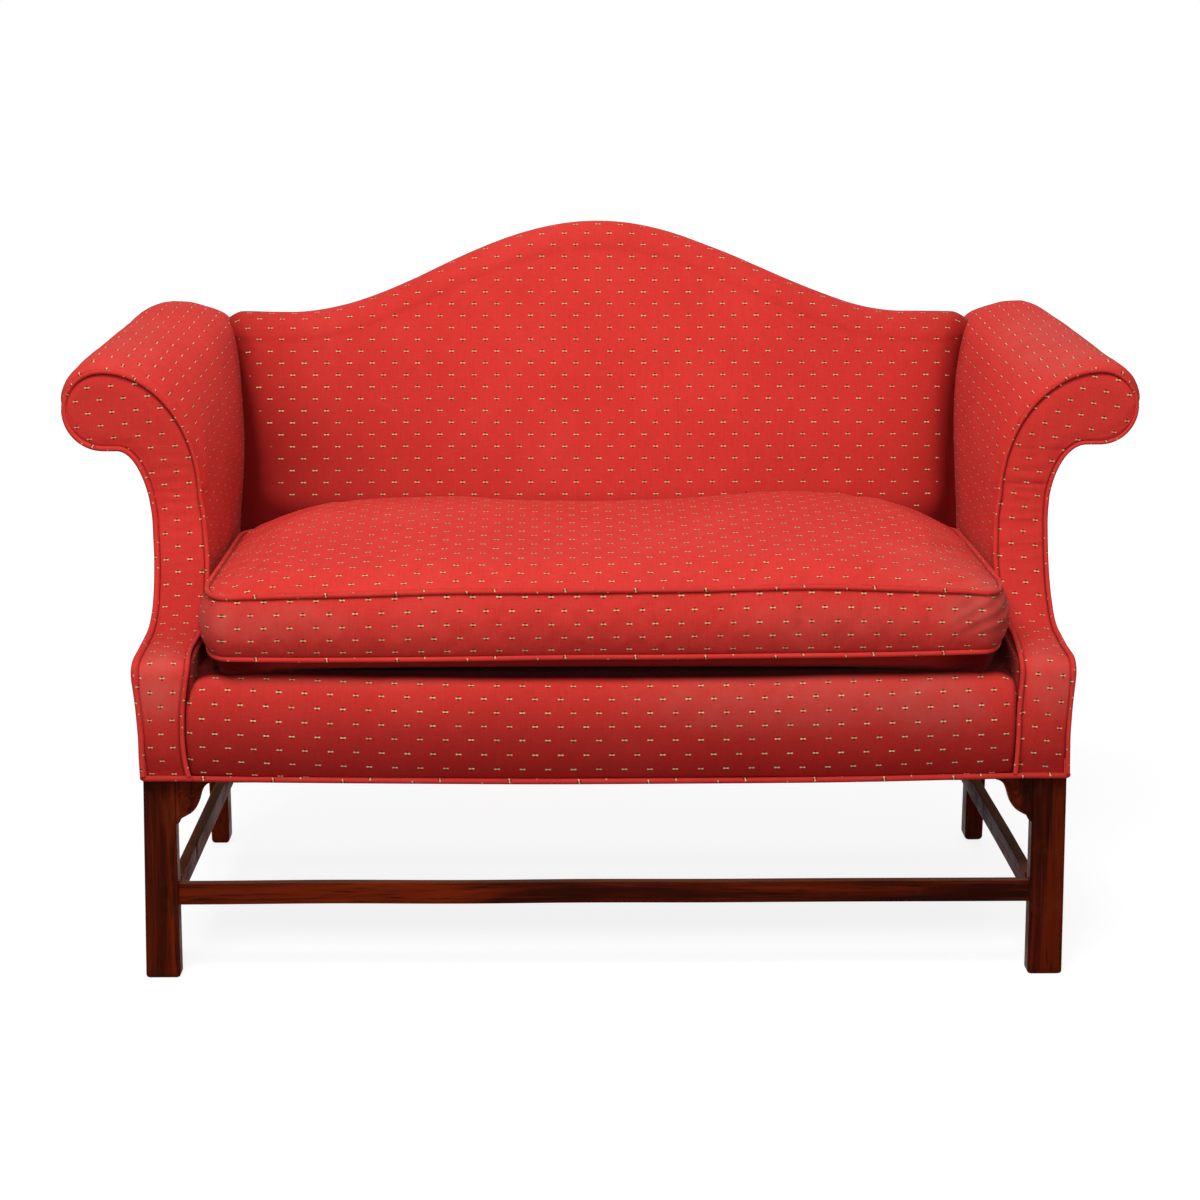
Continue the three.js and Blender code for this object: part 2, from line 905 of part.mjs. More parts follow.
// Webbing on the front of the back frame
function backWebbing() {

	const top = ( x ) => camelTop( x ) - crestPadding - crestRailHeight / 2;
	const half = webWidth / 2;
	const low = lowerRailBottom + lowerRailHeight / 2;
	const columns = places( backWebColumns, - postInner, postInner ).map( ( x ) => prism( [
		[ x - half, low ], [ x + half, low ], [ x + half, top( x + half ) ], [ x - half, top( x - half ) ],
	], 'xz', postFront - postDepth, backLine( sky ) ) );
	const rows = places( backWebRows, low, top( postInner ) ).map( ( z ) => block(
		[ - postInner + clearance, postInner - clearance ],
		[ postFront - postDepth, backLine( sky ) ],
		[ z - half, z + half ]
	) );
	const rear = - railThickness - clearance;
	return shared(
		joined( ...columns, ...rows ),
		prism( leaningBand( rear - webThickness, rear ), 'yz', - coverSide, coverSide )
	);

}

// Covered inside back: a hooked section that rolls over the camel rail, carried across
function insideBackRing( x ) {

	const top = camelTop( x );
	const rear = - railThickness - webThickness - clearance * 2;
	const kneeTop = top - backRollHeight;
	const shoulder = seatBackFront + ( kneeTop - seatBackKnee ) * backRake;
	const tail = top - backTailDrop;
	const behind = backLine( tail ) + backPanelThickness + backPadBehind;
	const middle = ( shoulder + behind ) / 2;
	const half = ( behind - shoulder ) / 2;
	const ring = [ [ seatBackFront, padBottom ], [ seatBackFront, seatBackKnee ] ];
	for ( let i = 0; i <= rollSteps * 2; i ++ ) {

		const angle = i / rollSteps * Math.PI / 2;
		const drop = i > rollSteps ? backTailDrop : backRollHeight;
		ring.push( [ middle - half * Math.cos( angle ), top - drop + drop * Math.sin( angle ) ] );

	}

	const lid = top - crestPadding + clearance;
	ring.push( [ backLine( tail ) + clearance, tail ] );
	ring.push( [ backLine( lid ) + clearance, lid ] );
	ring.push( [ backLine( lid ) + rear, lid ] );
	ring.push( [ backLine( padBottom ) + rear, padBottom ] );
	return ring.map( ( p ) => [ x, p[ 0 ], p[ 1 ] ] );

}

function insideBack() {

	return cut( loft( crestPlaces.map( insideBackRing ) ), rightArmSpace, leftArmSpace );

}

// Covered outside back, with the arm ends' outline at both sides
function outsideBack() {

	const section = armAt( backLine( sky ) );
	const skin = armSkin( section, 0 ).slice( 2 ).reverse();
	const level = shoulderHeight - backTailDrop - clearance;
	const meet = skin.findIndex( ( p, i ) => i > scrollSteps && p[ 1 ] < level );
	const above = skin[ meet - 1 ];
	const below = skin[ meet ];
	const drop = ( above[ 1 ] - level ) / ( above[ 1 ] - below[ 1 ] );
	const right = [
		...armNeck( section, 0 ).slice( 0, - 1 ), ...skin.slice( 0, meet ),
		[ mix( above[ 0 ], below[ 0 ], drop ), level ],
	];
	const tail = crestPlaces
		.filter( ( x ) => Math.abs( x ) < section.wallX )
		.map( ( x ) => [ x, camelTop( x ) - backTailDrop - clearance ] );
	const left = right.map( ( p ) => [ - p[ 0 ], p[ 1 ] ] );
	const outline = [ ...right, ...tail.reverse(), ...left.reverse() ];
	return shared(
		prism( outline, 'xz', postFront, overrun ),
		prism( leaningBand( clearance, backPanelThickness ), 'yz', - overrun, overrun )
	);

}

// Crest rail and posts grown by the clearance, to cut pockets for them
const crestSpread = 1 + clearance / crestEnd;
const crestUpper = crestPlaces.map( ( x ) => [ x * crestSpread, camelTop( x ) - crestPadding + clearance ] );
const crestLower = crestUpper.map( ( p ) => [ p[ 0 ], p[ 1 ] - crestRailHeight - clearance * 2 ] );
const crestCutter = shared(
	prism( [ ...crestUpper, ...crestLower.reverse() ], 'xz', postFront, overrun ),
	prism( leaningBand( - railThickness - clearance, backPanelThickness ), 'yz', - coverSide, coverSide )
);
const postCutter = prism( [
	[ postFront - clearance, 0 ], [ postBack + clearance * 2, 0 ], [ postBack + clearance * 2, railTop ],
	[ backLine( postTop ) + clearance * 2, postTop + clearance ],
	[ backLine( postTop ) - postDepth - clearance, postTop + clearance ], [ postFront - clearance, railTop ],
], 'yz', postInner - clearance, postOuter + clearance );

// Back frame between the posts, with its webbing, as a space to keep clear
const frameFront = - railThickness - webThickness - clearance * 2;
const frameSpace = shared(
	prism( leaningBand( frameFront, backPanelThickness, 0 ), 'yz', 0, postInner ),
	block( [ 0, postInner ], [ 0, overrun ], [ 0, shoulderHeight - crestPadding ] )
);

// Covered inside arm that rolls over the top and round the scroll
function insideArm() {

	const shell = armLoft( ( section ) => [
		...armSkin( section, 0 ),
		...armSkin( section, armPad ).reverse(),
	] );
	return cut( shared( shell, armSide( padBottom, 0 ) ), crestCutter, postCutter, frameSpace );

}

// Covered outer side of the arm, from the rail up the neck
function outsideArm() {

	const shell = armLoft( ( section ) => [
		...armNeck( section, 0 ),
		...armNeck( section, armPanel ).reverse(),
	] );
	return shared( shell, armSide( coverBottom, 0 ) );

}

// Facing: the arm's front outline carried along the swept side view
function facingOutline() {

	const section = armAt( facingSetback );
	const skin = armSkin( section, 0 );
	const neck = armNeck( section, 0 );
	return [
		[ facingFootInner, coverBottom ], [ facingFootInner, facingFootHeight ],
		...skin.slice( 1 ), ...neck.slice( 1, - 1 ).reverse(),
		[ coverSide, knuckleHeight ], [ coverSide + knuckleBulge, knuckleHeight - knuckleRadius ],
		[ coverSide, facingFootHeight ], [ coverSide, coverBottom ],
	];

}

function armFacing() {

	const back = offsetLine( frontLine, - facingThickness );
	const band = prism( [ ...frontLine, ...back.reverse() ], 'yz', 0, overrun );
	return shared( prism( facingOutline(), 'xz', coverFront - knuckleRadius, overrun ), band );

}

// Welt on the facing's edge: up the inner side, round the scroll and down the outer side
function facingWelt() {

	const raise = weltRadius + clearance;
	const section = armAt( facingSetback );
	const lifted = offsetLine( frontLine, raise );
	const low = frontLine
		.map( ( p, i ) => ( { z: p[ 1 ], at: lifted[ i ] } ) )
		.filter( ( p ) => p.z < sweepTop - clearance );
	const innerX = ( z ) => {

		const lean = THREE.MathUtils.clamp( ( z - facingFootHeight ) / ( facingLipHeight - facingFootHeight ), 0, 1 );
		const climb = Math.max( 0, z - facingLipHeight ) / ( section.wallZ - facingLipHeight );
		return mix( facingFootInner, section.footX, lean ) + ( section.wallX - section.footX ) * climb;

	};

	const up = low.map( ( p ) => [ innerX( p.z ) + weltInset, p.at[ 0 ], p.at[ 1 ] ] );
	const down = low.map( ( p ) => [ coverSide - weltInset, p.at[ 0 ], p.at[ 1 ] ] ).reverse();
	const y = facingSetback - raise;
	const skin = armSkin( section, weltInset ).slice( 2 ).map( ( p ) => [ p[ 0 ], y, p[ 1 ] ] );
	const neck = armNeck( section, weltInset ).slice( 2, - 1 ).map( ( p ) => [ p[ 0 ], y, p[ 1 ] ] ).reverse();
	return tube( [ ...up, ...skin, ...neck, ...down ], weltRadius, weltSides );

}

// Arm frame
function armStump() {

	const back = facingSetback + facingThickness + clearance + stumpDepth;
	const floor = railTop + clearance;
	const front = offsetLine( frontLine, - ( facingThickness + clearance * 2 ) )
		.filter( ( p ) => p[ 1 ] > floor && p[ 1 ] < sweepTop - clearance );
	const top = sweepTop - clearance * 2;
	const head = facingSetback + facingThickness + clearance * 2;
	return prism( [
		[ front[ 0 ][ 0 ], floor ], [ back, floor ], [ back, top ], [ head, top ], ...front.reverse(),
	], 'yz', stumpInner, stumpInner + stumpThickness );

}

function armScroll() {

	const front = facingSetback + facingThickness + clearance * 2;
	const ring = ( y ) => {

		const section = armAt( y );
		const skin = armSkin( section, armPad + scrollBoardGap ).slice( 3 );
		const neck = armNeck( section, armPanel + scrollBoardGap ).slice( 3, - 1 ).reverse();
		const foot = [ [ stumpInner + stumpThickness, sweepTop ], [ stumpInner, sweepTop ] ];
		return [ ...skin, ...neck, ...foot ].map( ( p ) => [ p[ 0 ], y, p[ 1 ] ] );

	};
	return loft( [ ring( front ), ring( front + scrollBoard ) ] );

}

function armRail() {

	const front = facingSetback + facingThickness + scrollBoard + clearance * 3;
	const ring = ( y ) => {

		const section = armAt( y );
		const inner = section.apexX - armRailInner;
		const top = section.apexZ - armPad - armRailDrop;
		return [
			[ inner, y, top - armRailHeight ], [ inner + armRailWidth, y, top - armRailHeight ],
			[ inner + armRailWidth, y, top ], [ inner, y, top ],
		];

	};
	const beam = loft( [ ring( front ), ring( mix( front, postFront, 1 / 2 ) ), ring( postBack ) ] );
	return shared( beam, prism( [
		[ 0, 0 ], [ postFront - clearance, 0 ], [ postFront - clearance, railTop ],
		[ backLine( sky ) - postDepth - clearance, sky ], [ 0, sky ],
	], 'yz', 0, overrun ) );

}

function armTackRail() {

	const front = facingSetback + facingThickness + stumpDepth + clearance * 2;
	const z = [ tackRailBottom, tackRailBottom + tackRailHeight ];
	const rear = ( height ) => backLine( height ) - postDepth - clearance;
	return prism( [
		[ front, z[ 0 ] ], [ rear( z[ 0 ] ), z[ 0 ] ], [ rear( z[ 1 ] ), z[ 1 ] ], [ front, z[ 1 ] ],
	], 'yz', stumpInner, postOuter );

}

// Padded cover over the front rail and its top edge
function frontRailCover() {

	const outline = new THREE.Shape();
	const step = railThickness / 2;
	outline.moveTo( coverFront, coverBottom );
	outline.lineTo( coverFront, deckTop - coverEdgeRadius );
	outline.quadraticCurveTo( coverFront, deckTop, coverFront + coverEdgeRadius, deckTop );
	outline.lineTo( coverTopRun, deckTop );
	outline.lineTo( coverTopRun, padBottom );
	outline.lineTo( step, padBottom );
	outline.lineTo( step, railTop + clearance );
	outline.lineTo( - clearance, railTop + clearance );
	outline.lineTo( - clearance, coverBottom );
	const half = halfFrame - armFront.footIn - clearance;
	return prism( outline, 'yz', - half, half );

}

// Welt along the bottom edge: down one side, across the front and up the other side
function bottomWelt() {

	const z = coverBottom - clearance - weltRadius;
	const x = coverSide - weltRadius + weltInset;
	const front = coverFront + weltRadius - weltInset;
	const corner = weltRadius * 2;
	const turn = ( side ) => Array.from( { length: weltTurnSteps + 1 }, ( _, i ) => {

		const angle = i / weltTurnSteps * Math.PI / 2;
		return [ side * ( x - corner + corner * Math.cos( angle ) ), front + corner - corner * Math.sin( angle ), z ];

	} );
	const middle = Array.from( { length: weltFrontSteps * 2 - 1 }, ( _, i ) => {

		const share = 1 - ( i + 1 ) / weltFrontSteps;
		return [ share * ( x - corner ), front, z - weltBow * ( 1 - share * share ) ];

	} );
	return tube( [
		[ x, postBack, z ], ...turn( 1 ), ...middle, ...turn( - 1 ).reverse(), [ - x, postBack, z ],
	], weltRadius, weltSides );

}

// Plan of the cushion: straight sides with round corners, as points and outward directions
const cushionHalfDepth = ( cushionBack - cushionFront ) / 2;
function cushionPlan() {

	const spots = [];
	const centre = [ 0, ( cushionFront + cushionBack ) / 2 ];
	const half = [ cushionHalfWidth - cushionCorner, cushionHalfDepth - cushionCorner ];
	const quarters = [ [ 1, 1 ], [ - 1, 1 ], [ - 1, - 1 ], [ 1, - 1 ] ];
	quarters.forEach( ( sign, q ) => {

		const corner = [ centre[ 0 ] + sign[ 0 ] * half[ 0 ], centre[ 1 ] + sign[ 1 ] * half[ 1 ] ];
		for ( let i = 0; i <= cornerSteps; i ++ ) {

			const angle = ( q + i / cornerSteps ) * Math.PI / 2;
			const out = [ Math.cos( angle ), Math.sin( angle ) ];
			const at = [ corner[ 0 ] + cushionCorner * out[ 0 ], corner[ 1 ] + cushionCorner * out[ 1 ] ];
			spots.push( { at, out } );

		}

		const next = quarters[ ( q + 1 ) % quarters.length ];
		const last = spots[ spots.length - 1 ];
		const target = [
			centre[ 0 ] + next[ 0 ] * half[ 0 ] + cushionCorner * last.out[ 0 ],
			centre[ 1 ] + next[ 1 ] * half[ 1 ] + cushionCorner * last.out[ 1 ],
		];
		const steps = q % 2 ? sideSteps : frontSteps;
		for ( let i = 1; i < steps; i ++ ) {

			const t = i / steps;
			const drawn = cushionDrawn * Math.sin( Math.PI * t );
			spots.push( { at: [
				mix( last.at[ 0 ], target[ 0 ], t ) - last.out[ 0 ] * drawn,
				mix( last.at[ 1 ], target[ 1 ], t ) - last.out[ 1 ] * drawn,
			], out: last.out } );

		}

	} );
	return { spots, centre };

}
const plan = cushionPlan();

// Ring round the cushion's plan at a height
const seatTop = deckTop + cushionLift;
const seamLift = weltRadius * seamLiftShare;
function cushionRing( grow, z ) {

	return plan.spots.map( ( p ) => [ p.at[ 0 ] + p.out[ 0 ] * grow, p.at[ 1 ] + p.out[ 1 ] * grow, z ] );

}

// Crown over the plan: full in the middle, falling to the seam
function crownAt( x, y ) {

	const u = x / cushionHalfWidth;
	const v = ( y - plan.centre[ 1 ] ) / cushionHalfDepth;
	const fall = ( t ) => 1 - Math.pow( Math.min( Math.abs( t ), 1 ), crownSquareness );
	return cushionCrown * Math.sqrt( Math.max( 0, fall( u ) * fall( v ) ) );

}

function cushion() {

	const inset = weltRadius * seamInsetShare;
	const drop = weltRadius * seamDropShare;
	const scaled = ( share, heightAt ) => cushionRing( - inset, 0 ).map( ( p ) => {

		const x = mix( plan.centre[ 0 ], p[ 0 ], share );
		const y = mix( plan.centre[ 1 ], p[ 1 ], share );
		return [ x, y, heightAt( x, y ) ];

	} );
	const crownHeight = ( x, y ) => cushionSeamHigh + seamLift + crownAt( x, y );
	const low = cushionSeamLow + drop;
	const high = cushionSeamHigh - drop;
	const rings = [
		scaled( seatShares[ 1 ], () => seatTop ),
		scaled( seatShares[ 0 ], () => seatTop ),
		cushionRing( - inset, cushionSeamLow - seamLift ),
		cushionRing( 0, low ),
		...boxingShares.map( ( s ) => cushionRing( cushionBulge * Math.sin( Math.PI * s ), mix( low, high, s ) ) ),
		cushionRing( 0, high ),
		cushionRing( - inset, cushionSeamHigh + seamLift ),
		...crownShares.map( ( share ) => scaled( share, crownHeight ) ),
	];
	return loft( rings, false, [
		[ ...plan.centre, seatTop ],
		[ ...plan.centre, crownHeight( ...plan.centre ) ],
	] );

}

// Welt round the cushion at a seam
function cushionWelt( z ) {

	return tube( cushionRing( 1, z ), weltRadius, weltSides, true );

}

// The assembled settee
const sofa = new THREE.Group();
function add( name, finish, geometry ) {

	const material = new THREE.MeshStandardMaterial( finishes[ finish ] );
	const mesh = new THREE.Mesh( geometry, material );
	mesh.name = name;
	sofa.add( mesh );

}
function addPair( name, finish, geometry ) {

	add( `${ name }_right`, finish, geometry );
	add( `${ name }_left`, finish, mirrored( geometry ) );

}

addPair( 'front_leg', 'mahogany', frontLeg() );
addPair( 'rear_post', 'mahogany', rearPost() );
add( 'front_stretcher', 'mahogany', frontStretcher() );
add( 'rear_stretcher', 'mahogany', rearStretcher() );
addPair( 'side_stretcher', 'mahogany', sideStretcher() );
addPair( 'bracket', 'mahogany', bracket() );

add( 'seat_rail_front', 'frame_timber', frontRail() );
add( 'seat_rail_rear', 'frame_timber', rearRail() );
addPair( 'seat_rail', 'frame_timber', sideRail() );
addPair( 'corner_block_front', 'frame_timber', frontBlock() );
addPair( 'corner_block_rear', 'frame_timber', rearBlock() );
add( 'seat_brace', 'frame_timber', seatBrace() );
add( 'crest_rail', 'frame_timber', crestRail() );
add( 'lower_back_rail', 'frame_timber', lowerBackRail() );
addPair( 'back_stay', 'frame_timber', backStay() );
addPair( 'arm_stump', 'frame_timber', armStump() );
addPair( 'arm_scroll', 'frame_timber', armScroll() );
addPair( 'arm_rail', 'frame_timber', armRail() );
addPair( 'arm_tack_rail', 'frame_timber', armTackRail() );

add( 'seat_webbing', 'jute', seatWebbing() );
springX.forEach( ( x, i ) => springY.forEach( ( y, j ) => {

	add( `coil_spring_${ j * springColumns + i + 1 }`, 'spring_steel', coilSpring( x, y ) );

} ) );
add( 'spring_burlap', 'jute', springBurlap() );
add( 'back_webbing', 'jute', backWebbing() );
add( 'dust_cover', 'cambric', dustCover() );

add( 'seat_deck', 'crimson_weave', seatDeck() );
add( 'front_rail_cover', 'crimson_weave', frontRailCover() );
add( 'inside_back', 'crimson_weave', insideBack() );
add( 'outside_back', 'crimson_weave', outsideBack() );
addPair( 'inside_arm', 'crimson_weave', insideArm() );
addPair( 'outside_arm', 'crimson_weave', outsideArm() );
addPair( 'arm_facing', 'crimson_weave', armFacing() );
addPair( 'facing_welt', 'crimson_weave', facingWelt() );
add( 'bottom_welt', 'crimson_weave', bottomWelt() );
add( 'seat_cushion', 'crimson_weave', cushion() );
add( 'cushion_welt_bottom', 'crimson_weave', cushionWelt( cushionSeamLow ) );
add( 'cushion_welt_top', 'crimson_weave', cushionWelt( cushionSeamHigh ) );

// Origin on the floor under the middle of the whole outline
const extent = new THREE.Box3().setFromObject( sofa );
sofa.position.y = - ( extent.min.y + extent.max.y ) / 2;

export default sofa;
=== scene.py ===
"""Camelback settee dressed over its frame: crimson woven covers with welts, a loose cushion, mahogany legs.

Metres, +Z up, +X to the right as seen from the front, +Y towards the back. A depth is measured back from the
front face of the front legs. Covers are grids of points worked out with numpy, each with its own cloth places
(the UV map "cloth", in metres of cloth), so that the woven motif follows every surface at its real size.
The second UV map holds painted shade: how much darker the cloth is coloured where shade falls, in a seam or
hollow, beside a joint or under an overhang. A piece that has a twin on the other side is made for the right and
mirrored.
"""

import json
import math

import bmesh
import bpy
import numpy as np
from mathutils import Matrix, Vector


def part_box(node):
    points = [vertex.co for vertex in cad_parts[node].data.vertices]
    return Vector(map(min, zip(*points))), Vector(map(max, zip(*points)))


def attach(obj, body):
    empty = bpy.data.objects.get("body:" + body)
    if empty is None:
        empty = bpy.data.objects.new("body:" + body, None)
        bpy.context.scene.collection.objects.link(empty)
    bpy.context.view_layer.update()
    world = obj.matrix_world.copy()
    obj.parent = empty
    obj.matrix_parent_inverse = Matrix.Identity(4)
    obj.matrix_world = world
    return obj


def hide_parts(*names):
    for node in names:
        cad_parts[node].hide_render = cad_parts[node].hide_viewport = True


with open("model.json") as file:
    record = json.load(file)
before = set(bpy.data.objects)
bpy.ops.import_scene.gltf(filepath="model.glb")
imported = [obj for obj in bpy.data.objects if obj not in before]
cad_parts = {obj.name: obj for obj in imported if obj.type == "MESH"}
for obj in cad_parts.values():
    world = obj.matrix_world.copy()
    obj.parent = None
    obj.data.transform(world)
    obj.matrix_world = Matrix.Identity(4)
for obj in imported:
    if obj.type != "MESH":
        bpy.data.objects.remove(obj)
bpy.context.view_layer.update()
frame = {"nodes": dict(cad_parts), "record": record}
scene = bpy.context.scene

# Sizes taken from the frame
LEG_LOW, LEG_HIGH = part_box("front_leg_right")
POST_LOW, POST_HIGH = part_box("rear_post_right")
RAIL_LOW, RAIL_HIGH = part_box("seat_rail_front")
FRONT = LEG_LOW.y
HALF = LEG_HIGH.x
LEG_WIDTH = LEG_HIGH.x - LEG_LOW.x
RAIL_TOP = RAIL_HIGH.z
RAIL_BOTTOM = RAIL_LOW.z
CREST_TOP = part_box("inside_back")[1].z

# Frame sizes that the covers follow
GAP = 0.0003
POST_FRONT = 0.598
POST_BACK = 0.640
BACK_LEAN = 0.08
SHOULDER = 0.815
CREST_REACH = HALF - 0.145
CREST_FULLNESS = 0.93
CREST_END = HALF - 0.009
COVER_SIDE = HALF + 0.005
COVER_BOTTOM = RAIL_BOTTOM - 0.0005
PAD_BOTTOM = RAIL_TOP + 0.0026
DECK_TOP = RAIL_TOP + 0.052

# Facing of the arm in the side view
SETBACK = 0.225
COVER_FRONT = -0.0123
KNUCKLE = RAIL_TOP + 0.052
KNUCKLE_RADIUS = 0.020
SWEEP_RUN = 0.105
SWEEP_RISE = 0.014
SWEEP_TOP = 0.600
SWEEP_HANDLE = 0.62
FOOT_INNER = HALF - 0.054
LIP_HEIGHT = KNUCKLE + 0.003
KNUCKLE_BEHIND = 0.028

# Arm sections behind the facing, right (1) and left (-1), and at the back
ARM_FRONT = {
    1: dict(apex_x=HALF + 0.0745, apex_z=0.769, scroll=0.048, wall_x=HALF - 0.058, wall_z=0.600,
            foot_x=HALF - 0.064, fullness=2.0, neck_x=HALF + 0.0035, neck_run=0.018, neck_drop=0.098),
    -1: dict(apex_x=HALF + 0.073, apex_z=0.769, scroll=0.051, wall_x=HALF - 0.054, wall_z=0.600,
             foot_x=HALF - 0.064, fullness=2.0, neck_x=HALF + 0.004, neck_run=0.018, neck_drop=0.124)}
ARM_BACK = dict(apex_x=HALF + 0.036, apex_z=0.8255, scroll=0.0290, wall_x=HALF - 0.070, wall_z=0.650,
                foot_x=HALF - 0.070, fullness=3.6, neck_x=HALF + 0.005, neck_run=0.014, neck_drop=0.092)
ARM_BACK_TOP = [
    (HALF - 0.070, 0.650), (HALF - 0.067, 0.691), (HALF - 0.0625, 0.731), (HALF - 0.0570, 0.767),
    (HALF - 0.0525, 0.791), (HALF - 0.0435, 0.8045), (HALF - 0.029, 0.8125), (HALF - 0.007, 0.8195),
    (HALF + 0.012, 0.8242), (HALF + 0.036, 0.8255)]
ARM_PAD = 0.024

# Where the right (1) and the left (-1) differ: fullness and bow of the arm's roll, shade and tightness of the
# facing, the outer welt's radius, how far the legs flare, stand out and are worn, and the bottom welt's reach
ARM_SWELL = {1: 0.001, -1: 0.0045}
SCROLL_SWELL = {1: 0.0060, -1: 0.0038}
ARM_BOW = {1: 0.0035, -1: 0.005}
MIDDLE_SHADE = {1: 0.10, -1: 0.22}
UPPER_SHADE = {1: 0.07, -1: 0.12}
TIGHTNESS = {1: 1.0, -1: 0.25}
OUTER_WELT = {1: 0.0029, -1: 0.0040}
LEG_FLARE = {1: 0.0015, -1: 0.0040}
LEG_SHIFT = {1: 0.0028, -1: 0}
FOOT_WEAR = {1: 1.0, -1: 0.6}
BOTTOM_WELT_REACH = {1: COVER_SIDE - 0.0025, -1: COVER_SIDE - 0.0055}

# How the facing's cloth hangs: out of level below and above, and lowered
FACING_HANG = {1: (0.075, 0.140, 0.0088), -1: (0.0, 0.078, 0.0)}

# Tight creases across the facing: height, slope and strength; the strength sets both their depth and their
# painted shade
TIGHT_CREASES = [(0.668, -0.05, 0.5), (0.619, -0.04, 1.0), (0.566, 0.03, 0.6), (0.534, 0.02, 0.7)]

# How the facing's cloth lies by height: moved sideways, moved up, and drawn together, right (1) and left (-1)
FACING_CLOTH = {
    1: ([0.290, 0.351, 0.388, 0.407, 0.550, 0.600, 0.690, 0.760],
        [-0.0120, -0.0119, -0.0105, -0.0092, -0.0112, -0.0084, -0.0038, -0.0016],
        [0.0124, 0.0121, 0.0116, 0.0107, 0.0167, 0.0150, 0.0098, 0.0106],
        [1.03, 1.03, 1.03, 1.03, 1.02, 1.02, 1.045, 1.045]),
    -1: ([0.290, 0.330, 0.366, 0.403, 0.450, 0.564, 0.635, 0.750],
         [0.0047, 0.0050, 0.0045, 0.0012, 0.0050, 0.0097, 0.0086, 0.0102],
         [-0.0046, -0.0036, -0.0031, -0.0014, 0.0020, 0.0062, 0.0028, 0.0012],
         [1.15, 1.15, 1.15, 1.12, 1.08, 1.00, 1.00, 1.045])}

# Outlines of the facings by height: inner edge and outer edge, right (1) and left (-1)
EDGE_HEIGHTS = [0.2735, 0.297, 0.325, 0.360, 0.389, 0.402, 0.414, 0.425, 0.4305, 0.437, 0.460, 0.519, 0.549,
                0.575]
INNER_EDGE = {
    1: [0.529, 0.531, 0.532, 0.532, 0.534, 0.535, 0.535, 0.534, 0.537, 0.540, 0.533, 0.531, 0.532, 0.533],
    -1: [0.535, 0.540, 0.542, 0.541, 0.538, 0.5355, 0.5335, 0.5335, 0.536, 0.532, 0.530, 0.532, 0.535, 0.537]}
OUTER_EDGE = {
    1: [0.5955, 0.595, 0.5945, 0.596, 0.598, 0.5985, 0.5985, 0.598, 0.596, 0.5965, 0.598, 0.5985, 0.5985,
        0.5985],
    -1: [0.592, 0.593, 0.593, 0.595, 0.5975, 0.5985, 0.599, 0.597, 0.596, 0.595, 0.5955, 0.598, 0.600, 0.601]}

# Covered back
BACK_FRONT = 0.515
BACK_KNEE = 0.510
BACK_RAKE = 0.294
ROLL_FRONT_DROP = 0.042
ROLL_TAIL_DROP = 0.030
PANEL = 0.007
DECK_FRONT = 0.0453

# Welts and cushion
WELT = 0.0032
BOTTOM_WELT = 0.0038
CUSHION_WELT_OUT = 0.0026
CUSHION_FRONT = -0.016
CUSHION_BACK = 0.504
CUSHION_HALF = np.array([HALF - 0.082, (CUSHION_BACK - CUSHION_FRONT) / 2])
CORNER_WIDTH = 0.034
CORNER_FRONT = 0.110
CORNER_BACK = 0.040
CUSHION_REST = DECK_TOP - 0.0195
BOXING_BULGE = 0.013
BOXING_FOLDS = (0.505, 0.489, 0.472)
SIDE_DRAWN = 0.006
FILL_START = 0.86
SEAM_EASE = 0.86

# Wood: radius of the rubbed arrises, how much of the legs' back corner is cut flat, how far the rear legs are
# raked and how deep they are above the seat, and where the left side stretcher is chipped
LEG_ARRIS = 0.0032
LEG_FLAT = 0.013
REAR_RAKE = 0.042
POST_DEPTH = 0.042
STRETCHER_ARRIS = 0.0020
CHIP = FRONT + 0.196

# The woven motif's half-drop repeat, across the cloth and up it, and how far off the warp welt strips are cut
REPEAT = 0.0331
ROW = 0.0176
WELT_CUT = 0.17

# Colours, linear
CRIMSON = (0.70, 0.043, 0.034)
# Faded cloth, and the painted sheen on the arms' tops
CRIMSON_FADED_AND_SHEEN = (0.63, 0.105, 0.083)
# Painted shade: the deep crimson that the cloth is coloured where shade falls
CRIMSON_PAINTED_SHADE = (0.090, 0.0012, 0.0012)
CREAM = (0.86, 0.63, 0.33)
MOTIF_DARK = (0.050, 0.014, 0.006)
MAHOGANY = (0.130, 0.0125, 0.0022)
MAHOGANY_DARK = (0.024, 0.0028, 0.0009)
DUST = (0.22, 0.105, 0.050)

# Camera, as fitted to the photograph's frame in pixels, and lamps: name, place, size and watts
FRAME_PIXELS = 1200
FOCAL_PIXELS = 2786.7
CAMERA_PLACE = (-0.05995, FRONT - 3.4871, 1.1735)
YAW, PITCH, ROLL = 0.0153, 0.1903, 0.0004
LAMPS = [("key", (-0.64, -2.4, 3.6), (2.2, 1.6), 115), ("front", (0.4, -4.6, 1.9), (3.0, 2.0), 43),
         ("back", (0.3, 2.6, 3.0), (2.5, 1.5), 24)]
LAMP_TARGET = Vector((0, 0, 0.5))
FLOOR_REACH = 30.0


def placed(name, data):
    """A new object in the scene."""
    made = bpy.data.objects.new(name, data)
    scene.collection.objects.link(made)
    return made


def photo_camera():
    """Camera fitted to the photograph: place, turn and lens, for a square frame with no shift."""
    data = bpy.data.cameras.new("photo_camera")
    data.sensor_width = 36.0
    data.lens = FOCAL_PIXELS / FRAME_PIXELS * data.sensor_width
    data.clip_end = 50
    camera = placed("photo_camera", data)
    camera.location = CAMERA_PLACE
    camera.rotation_mode = "QUATERNION"
    turn = Matrix.Rotation(-YAW, 4, "Z") @ Matrix.Rotation(math.pi / 2 - PITCH, 4, "X")
    camera.rotation_quaternion = (turn @ Matrix.Rotation(ROLL, 4, "Z")).to_quaternion()
    scene.camera = camera


photo_camera()


def maths(operation):
    """A method that adds a Math node on a value and another value or number."""
    return lambda self, other: self.math(operation, self, other)


def reflected(operation):
    """The same with the other value or number first."""
    return lambda self, other: self.math(operation, other, self)


